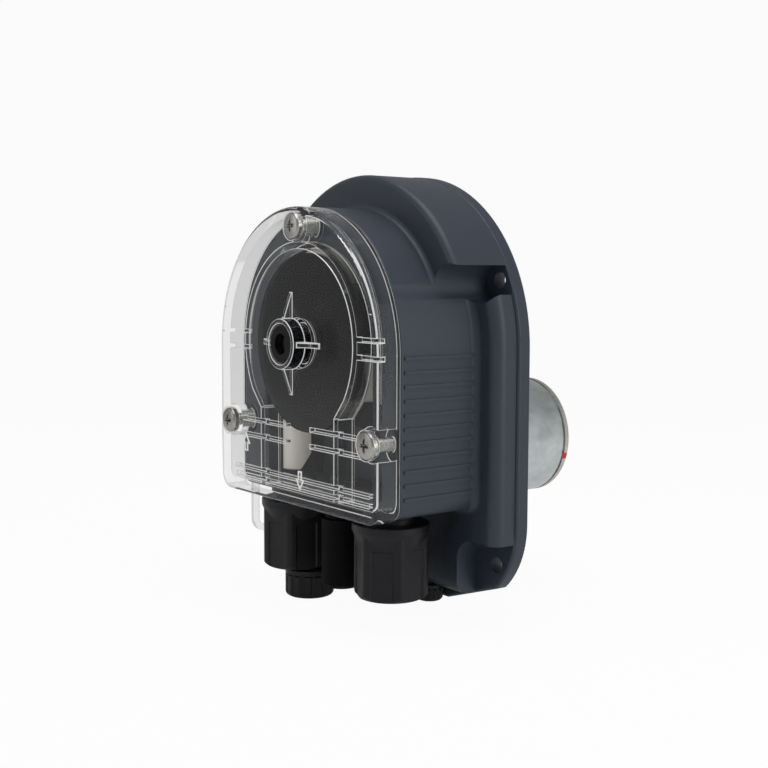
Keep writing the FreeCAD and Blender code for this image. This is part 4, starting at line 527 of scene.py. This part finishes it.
def screw_points(place, front, back):
    """One cover screw from the middle of its head to its tip. The head is a low dome with a crossed
    recess, deep where the nearer of two axes is close; the shank carries a saw-tooth helix."""
    s = SCREW
    angles = turned_angles(72)
    r = s["head"] * np.sin(np.linspace(0, np.pi / 2, 46))[:, None]
    near = np.minimum(np.abs(r * np.cos(angles)), np.abs(r * np.sin(angles)))
    dip = soft_step(s["cross"] - near, 0.3 * MM) * soft_step(s["reach"] - r, 0.8 * MM)
    sag = s["dome"] * (r / s["head"]) ** 2 + quarter(s["head"] - r, s["edge"])
    top = np.stack([r * np.cos(angles), front + sag + s["deep"] * dip, r * np.sin(angles)], -1)
    under = front + s["high"]
    y = np.linspace(under + 0.3 * MM, back - 0.6 * MM, 132)[:, None]
    turn = np.mod((y - under) / s["pitch"] - angles / (2 * np.pi), 1)
    crest = s["shank"] - s["thread"] * np.abs(2 * turn - 1)
    ends = [(s["head"], under - 0.1 * MM), (s["head"] - 0.1 * MM, under), (s["shank"] - 0.2 * MM, under)]
    tip = [(s["tip"], back), (0.0, back)]

    def ring(radius, depth):
        """Points round the screw's axis; rows follow the radii and depths."""
        radius = radius + 0 * angles
        return np.stack([radius * np.cos(angles), depth + 0 * radius, radius * np.sin(angles)], -1)
    rows = [top, *(ring(*end) for end in ends), ring(crest, y), *(ring(*end) for end in tip)]
    return np.concatenate(rows) + np.array([place[0], 0, place[1]])


def cover_screws_mesh():
    """The three cover screws; their places are the middles of the CAD node's separate heads."""
    low, high = node_box("cover_screws")
    side, foot = high[0] - SCREW["head"], low[2] + SCREW["head"]
    places = [(0.0, high[2] - SCREW["head"]), (side, foot), (-side, foot)]
    return joined("cover_screws_shape", [screw_points(place, low[1], high[1]) for place in places])


def joined(name, grids):
    """One mesh of several grids that close on themselves by columns; poles are welded."""
    meshes = [grid_mesh(name, points, closed_v=True) for points in grids]
    shape = bmesh.new()
    for mesh in meshes:
        shape.from_mesh(mesh)
    bmesh.ops.remove_doubles(shape, verts=shape.verts, dist=0.2e-3 * MM)
    bmesh.ops.recalc_face_normals(shape, faces=shape.faces)
    shape.to_mesh(meshes[0])
    shape.free()
    return meshes[0]


def finished(node, mesh, finish):
    """A worked-out mesh in place of its CAD node."""
    smooth_mesh(mesh)
    return new_piece("shaped_" + node, mesh, finish, BODY_OF[node], RECORD_SLOT[node], node)


# Block between the tube's legs: half width, front face in the solid and front face as drawn
BLOCK = {"half": 21 * MM, "front": -39.1 * MM, "drawn": -25 * MM}
# Sliver under each upper screw trough: lowest and highest corner, and the point it is drawn in to
SLIVER = (51.5 * MM, -26 * MM, 40.6 * MM), (52 * MM, -4.51 * MM, 41.2 * MM)
SLIVER_ROOT = (51.8 * MM, -4.4 * MM, 40.95 * MM)


def fit_housing(points):
    """Sets the block between the tube's legs back, so that the leg shows past it, and draws the thin
    sliver under each upper screw trough in to the flange."""
    side = np.ones_like(points)
    side[points[:, 0] < 0, 0] = -1
    mirrored = points * side
    front = (mirrored[:, 0] < BLOCK["half"]) & (mirrored[:, 2] < 0)
    front &= np.abs(mirrored[:, 1] - BLOCK["front"]) < 0.05 * MM
    points[front, 1] = BLOCK["drawn"]
    sliver = np.all((mirrored > SLIVER[0]) & (mirrored < SLIVER[1]), axis=1)
    points[sliver] = (SLIVER_ROOT * side)[sliver]


def bead_points(path, radius):
    """A half round bead carried along a closed path on the cover's face: offset(t) = radius (cos t
    across, sin t forward), with the mitre of the path at each point."""
    path = np.asarray(path, float)
    ahead = np.roll(path, -1, 0) - path
    ahead /= np.linalg.norm(ahead, axis=1)[:, None]
    mean = ahead + np.roll(ahead, 1, 0)
    across = np.stack([mean[:, 1], -mean[:, 0]], 1)
    across /= np.sum(across * np.stack([ahead[:, 1], -ahead[:, 0]], 1), 1)[:, None]
    t = turned_angles(12)
    flat = path[:, None, :] + radius * np.cos(t)[..., None] * across[:, None, :]
    forward = radius * np.maximum(np.sin(t), -0.3) + 0 * flat[..., 0]
    return np.stack([flat[..., 0], COVER_FACE - forward, flat[..., 1]], -1)


# Arrow's outline, pointing up, in units of its size, and where each arrow stands and points
ARROW = np.array([(-1, 0), (-2.4, 0), (0, 3.6), (2.4, 0), (1, 0), (1, -3.2), (-1, -3.2)])
ARROW_SIZE = 0.8 * MM
ARROW_BEAD = 0.3 * MM
ARROWS = (((-27.7 * MM, -10.3 * MM), 1), ((5.0 * MM, -18.6 * MM), -1))


def cover_arrows_mesh():
    """Two open arrows moulded on the cover beside the tube's legs: up at the left, down at the right."""
    grids = []
    for centre, way in ARROWS:
        grid = bead_points(way * ARROW * ARROW_SIZE + np.array(centre), ARROW_BEAD)
        grids.append(np.concatenate([grid, grid[:1]]))
    return joined("cover_arrows_shape", grids)


# One operator for each piece or group of like pieces; an ease is the width of its rounded edges
HOUSING_EASE = 0.5 * MM
COVER_EASE = 0.22 * MM
ROTOR_EASE = 0.25 * MM
PORT_EASE = 0.3 * MM
# Index of the cover, lower than its plastic's own, so that its walls mirror less of what lies inside
COVER_IOR = 1.35
# How far each hose nut is screwed round, in degrees
HOSE_NUT_TURNS = {"hose_nut_right": -22, "hose_nut_left": 14}
# Inside of the round nuts: radii of room and hole, and the depth or the thickness of the floor
SMALL_NUT = {"room": 5.66 * MM, "hole": 3.2 * MM, "deep": 5.2 * MM}
GLAND_NUT = {"room": 3.26 * MM, "hole": 1.6 * MM, "floor": 1.4 * MM}


def nut_black(name, s, roughness):
    """Black moulding of the nuts, adapters and glands."""
    return moulded(name, s.black, tuple(1.7 * c for c in s.black), s.grain, roughness, specular=0.28)


class PUMP_OT_housing(bpy.types.Operator):
    """Dress the housing and the gearbox's back plate in grained blue grey plastic"""
    bl_idname = "pump.housing"
    bl_label = "Housing"

    def execute(self, context):
        s = context.scene.pump_finish
        grained = moulded("Housing plastic", s.housing, s.housing_light, s.grain, 0.46)
        dress("main_housing", grained, HOUSING_EASE, mesh=welded("main_housing", fit_housing))
        dress("gearbox_back_plate", moulded("Back plate plastic", s.housing, s.housing, s.grain, 0.5))
        return {"FINISHED"}


class PUMP_OT_cover(bpy.types.Operator):
    """Dress the clear cover and the seal under it"""
    bl_idname = "pump.cover"
    bl_label = "Clear cover"

    def execute(self, context):
        s = context.scene.pump_finish
        # Painted highlight and glow for the cover's eased edges and its moulded arrows
        edge_highlight = painted_edge_highlight("Clear cover edges")
        clear = clear_moulding("Clear cover plastic", s.clear, sheet=1.0, ior=COVER_IOR)
        dress("front_cover", clear, COVER_EASE, edge_highlight)
        arrows = cover_arrows_mesh()
        smooth_mesh(arrows)
        new_piece("shaped_cover_arrows", arrows, edge_highlight, BODY_OF["front_cover"], RECORD_SLOT["front_cover"])
        dress("cover_seal", rubbery("Cover seal rubber"))
        return {"FINISHED"}


class PUMP_OT_screws(bpy.types.Operator):
    """Dress every screw in bright zinc"""
    bl_idname = "pump.screws"
    bl_label = "Screws"

    def execute(self, context):
        zinc = plated("Screw zinc", context.scene.pump_finish.screw, roughness=0.24, mottle=0.2)
        finished("cover_screws", cover_screws_mesh(), zinc)
        for node in ("back_plate_screws", "motor_screws", "rotor_screw"):
            dress(node, zinc)
        return {"FINISHED"}


class PUMP_OT_rotor(bpy.types.Operator):
    """Dress the rotor, its pins and its three rollers"""
    bl_idname = "pump.rotor"
    bl_label = "Rotor"

    def execute(self, context):
        black = polished("Rotor black", context.scene.pump_finish.rotor)
        for node in ("rotor_hub", "rotor_front_disc"):
            dress(node, black, ROTOR_EASE)
        white = moulded("Roller plastic", (0.5, 0.5, 0.47), (0.58, 0.58, 0.55), 0.3 * MM, 0.4)
        for number in (1, 2, 3):
            dress(f"roller_{number}", white)
        steel = turned("Ground steel", STEEL)
        for node in ("roller_pins", "output_shaft", "idler_axle"):
            dress(node, steel)
        return {"FINISHED"}


class PUMP_OT_gears(bpy.types.Operator):
    """Dress the gears, bushes and seals of the gearbox"""
    bl_idname = "pump.gears"
    bl_label = "Gearbox"

    def execute(self, context):
        acetal = moulded("Gear acetal", (0.62, 0.60, 0.53), (0.70, 0.69, 0.62), 0.3 * MM, 0.36)
        for node in ("output_gear", "idler_gear"):
            dress(node, acetal)
        brass = turned("Turned brass", (0.62, 0.44, 0.18))
        for node in ("motor_pinion", "output_bush", "plate_bush", "motor_bushes"):
            dress(node, brass)
        dress("shaft_seal", rubbery("Shaft seal rubber"))
        return {"FINISHED"}


class PUMP_OT_tube(bpy.types.Operator):
    """Dress the squeeze tube"""
    bl_idname = "pump.tube"
    bl_label = "Squeeze tube"

    def execute(self, context):
        tone = context.scene.pump_finish.tube
        darker = tuple(0.88 * c for c in tone)
        # Painted glow: the tube's emission stands in for light passed through the milky rubber
        dress("squeeze_tube", rubbery("Tube rubber", darker, tone, 0.42, painted_glow=0.16))
        return {"FINISHED"}


class PUMP_OT_ports(bpy.types.Operator):
    """Dress the hose ports with their union nuts"""
    bl_idname = "pump.ports"
    bl_label = "Hose ports"

    def execute(self, context):
        s = context.scene.pump_finish
        black = nut_black("Port black", s, 0.42)
        for node, turn in HOSE_NUT_TURNS.items():
            finished(node, hose_nut_mesh(node, math.radians(turn)), black)
        floor = node_box("small_hose_nut")[1][2] - SMALL_NUT["deep"]
        small = fluted_nut_mesh("small_hose_nut", SMALL_NUT["room"], SMALL_NUT["hole"], floor)
        finished("small_hose_nut", small, black)
        for node in ("hose_adapter_left", "hose_adapter_right", "offset_hose_adapter"):
            dress(node, black, PORT_EASE)
        # Painted shade: the plug is darker and duller than the other black mouldings, standing for the deep
        # shadow between the hose nuts
        dull = moulded("Plug black", (0.002,) * 3, (0.003,) * 3, s.grain, 0.7, specular=0.1)
        dress("centre_plug", dull, PORT_EASE)
        dress("hose_collets", moulded("Collet white", (0.56, 0.56, 0.54), (0.64, 0.64, 0.62), s.grain, 0.4))
        dress("port_o_rings", rubbery("Ring rubber"))
        return {"FINISHED"}


class PUMP_OT_glands(bpy.types.Operator):
    """Dress the two cable glands"""
    bl_idname = "pump.glands"
    bl_label = "Cable glands"

    def execute(self, context):
        black = nut_black("Gland black", context.scene.pump_finish, 0.4)
        dress("gland_bodies", black)
        for node in ("gland_nut_left", "gland_nut_right"):
            floor = node_box(node)[0][2] + GLAND_NUT["floor"]
            finished(node, fluted_nut_mesh(node, GLAND_NUT["room"], GLAND_NUT["hole"], floor), black)
        dress("gland_seals", rubbery("Gland rubber"))
        return {"FINISHED"}


class PUMP_OT_loop(bpy.types.Operator):
    """Dress the clear loop that guides a hose"""
    bl_idname = "pump.loop"
    bl_label = "Hose loop"

    def execute(self, context):
        tone = context.scene.pump_finish.clear
        dress("hose_guide_loop", clear_moulding("Clear loop plastic", tone, sheet=0.0, ior=CLEAR_IOR))
        return {"FINISHED"}


class PUMP_OT_motor(bpy.types.Operator):
    """Dress the motor's can, end cap, terminals and inner parts"""
    bl_idname = "pump.motor"
    bl_label = "Motor"

    def execute(self, context):
        s = context.scene.pump_finish
        dress("motor_can", plated("Can zinc", s.zinc, mottle=0.12))
        dress("motor_end_cap", plated("Cap zinc", s.band, roughness=0.42, mottle=0.12))
        red = moulded("Red insulator", s.red, tuple(1.3 * c for c in s.red), s.grain, 0.4)
        for node in ("motor_terminals", "polarity_tab"):
            dress(node, red)
        dress("motor_shaft", turned("Motor shaft steel", STEEL))
        dress("motor_magnet_ring", moulded("Magnet", (0.03, 0.03, 0.032), (0.05, 0.05, 0.052), s.grain, 0.6))
        dress("motor_armature", plated("Armature steel", (0.28, 0.26, 0.23), roughness=0.5))
        return {"FINISHED"}


# Place of each lamp from the part's middle, and its width and height, in metres
LAMPS = {"Key": ((0.10, -0.10, 0.62), (0.55, 0.55)),
         "Side": ((0.62, 0.16, 0.16), (0.22, 0.6)),
         "Front": ((-0.30, -0.62, 0.20), (0.5, 0.5))}


class PUMP_OT_stage(bpy.types.Operator):
    """Set the pale floor, the soft lamps and the camera"""
    bl_idname = "pump.stage"
    bl_label = "Stage"

    def execute(self, context):
        s = context.scene.pump_stage
        make_floor()
        make_world(s.ambient)
        low, high = (Vector(corner) for corner in CAD_BOX)
        middle = (low + high) / 2
        for name, (place, size) in LAMPS.items():
            make_lamp(name, middle + Vector(place), middle, size, getattr(s, name.lower()))
        make_camera(context, s)
        context.scene.view_settings.view_transform = "Standard"
        return {"FINISHED"}


# Share of the white background that gloss and glass show
WHITE_SHARES = {"Is Glossy Ray": 0.2, "Is Transmission Ray": 0.8}


def white_share(net):
    """1 to the camera's own rays, less to rays of gloss and to rays through glass, 0 to all others."""
    seen = net.node("LightPath", out="Is Camera Ray")
    for ray, share in WHITE_SHARES.items():
        seen = seen.most(share * net.node("LightPath", out=ray))
    return seen


def studio_white(net, share):
    """Surface that is white to the camera by a share, and lit the plain way besides."""
    grain = net.noise(0.12, detail=2.0)
    lit = net.node("BsdfDiffuse", inputs={"Color": net.blend(grain, (0.84,) * 3, (0.87,) * 3)})
    bright = net.node("Emission", inputs={"Color": WHITE, "Strength": 1.0})
    return net.node("MixShader", inputs={0: white_share(net) * share, 1: lit, 2: bright})


# Radius and height of the floor's rim in metres, the share of rings that lie flat, and the gap to the part
FLOOR = {"radius": 4.0, "height": 2.4, "flat": 0.6, "gap": 0.4 * MM}


def make_floor():
    """Floor that rises into a backdrop on all sides. Over the rings t from 0 to 1 the radius grows with
    t squared; the height is 0 up to the flat share and then grows with the cube of the rest."""
    reach = np.linspace(0, 1, 40)[:, None]
    turn = turned_angles(96)
    out = FLOOR["radius"] * reach ** 2 + 0 * turn
    climb = np.clip((reach - FLOOR["flat"]) / (1 - FLOOR["flat"]), 0, 1)
    rise = FLOOR["height"] * climb ** 3 + 0 * turn
    base = CAD_BOX[0][2] - FLOOR["gap"]
    points = np.stack([out * np.cos(turn), out * np.sin(turn), base + rise], -1)
    mesh = grid_mesh("floor_shape", points, closed_v=True)
    floor = bpy.data.objects.new("studio_floor", mesh)
    bpy.context.scene.collection.objects.link(floor)
    mesh.shade_smooth()
    net = Net("Studio paper")
    mesh.materials.append(net.end(studio_white(net, 0.95)))


def make_world(strength):
    """Even pale light, white where the camera looks straight at it."""
    net = Net("Studio air", "worlds")
    light = net.node("Background", inputs={"Color": WHITE, "Strength": white_share(net).most(strength)})
    bpy.context.scene.world = net.end(light, "OutputWorld")


def make_lamp(name, place, target, size, power):
    """Soft rectangular lamp that looks at the target."""
    light = bpy.data.lights.new(name, "AREA")
    light.shape = "RECTANGLE"
    light.size, light.size_y = size
    light.energy = power
    lamp = bpy.data.objects.new(name, light)
    bpy.context.scene.collection.objects.link(lamp)
    lamp.location = place
    lamp.rotation_euler = (target - place).to_track_quat("-Z", "Y").to_euler()


def make_camera(context, s):
    """Camera set back from the arch's centre on the cover's face, along its line of sight."""
    level_share = math.cos(s.elevation)
    back = Vector((math.sin(s.azimuth) * level_share, -math.cos(s.azimuth) * level_share,
                   math.sin(s.elevation)))
    level = Vector((math.cos(s.azimuth), math.sin(s.azimuth), 0.0))
    up = back.cross(level)
    right = math.cos(s.roll) * level + math.sin(s.roll) * up
    up = back.cross(right)
    anchor = Vector((0.0, COVER_FACE, ARCH_HEIGHT))
    place = anchor + s.distance * back + s.slide * right + s.lift * up
    data = bpy.data.cameras.new("Camera")
    data.sensor_width = 36.0
    data.lens = s.lens
    data.clip_start = 0.01
    camera = bpy.data.objects.new("Camera", data)
    context.scene.collection.objects.link(camera)
    camera.matrix_world = Matrix.Translation(place) @ Matrix((right, up, back)).transposed().to_4x4()
    context.scene.camera = camera


class PUMP_PT_panel(bpy.types.Panel):
    """Lists the operators that dress the pump"""
    bl_label = "Dosing pump"
    bl_idname = "PUMP_PT_panel"
    bl_space_type = "VIEW_3D"
    bl_region_type = "UI"
    bl_category = "Dosing pump"

    def draw(self, context):
        for operator in OPERATORS:
            self.layout.operator(operator.bl_idname)


OPERATORS = (PUMP_OT_housing, PUMP_OT_cover, PUMP_OT_screws, PUMP_OT_rotor, PUMP_OT_gears, PUMP_OT_tube,
             PUMP_OT_ports, PUMP_OT_glands, PUMP_OT_loop, PUMP_OT_motor, PUMP_OT_stage)
CLASSES = (FinishSettings, StageSettings, *OPERATORS, PUMP_PT_panel)


def register():
    for item in CLASSES:
        bpy.utils.register_class(item)
    bpy.types.Scene.pump_finish = PointerProperty(type=FinishSettings)
    bpy.types.Scene.pump_stage = PointerProperty(type=StageSettings)


def unregister():
    del bpy.types.Scene.pump_stage
    del bpy.types.Scene.pump_finish
    for item in reversed(CLASSES):
        bpy.utils.unregister_class(item)


def main():
    """Run every operator in order."""
    register()
    for operator in OPERATORS:
        group, name = operator.bl_idname.split(".")
        getattr(getattr(bpy.ops, group), name)()
    bpy.context.view_layer.update()


if __name__ == "__main__":
    main()
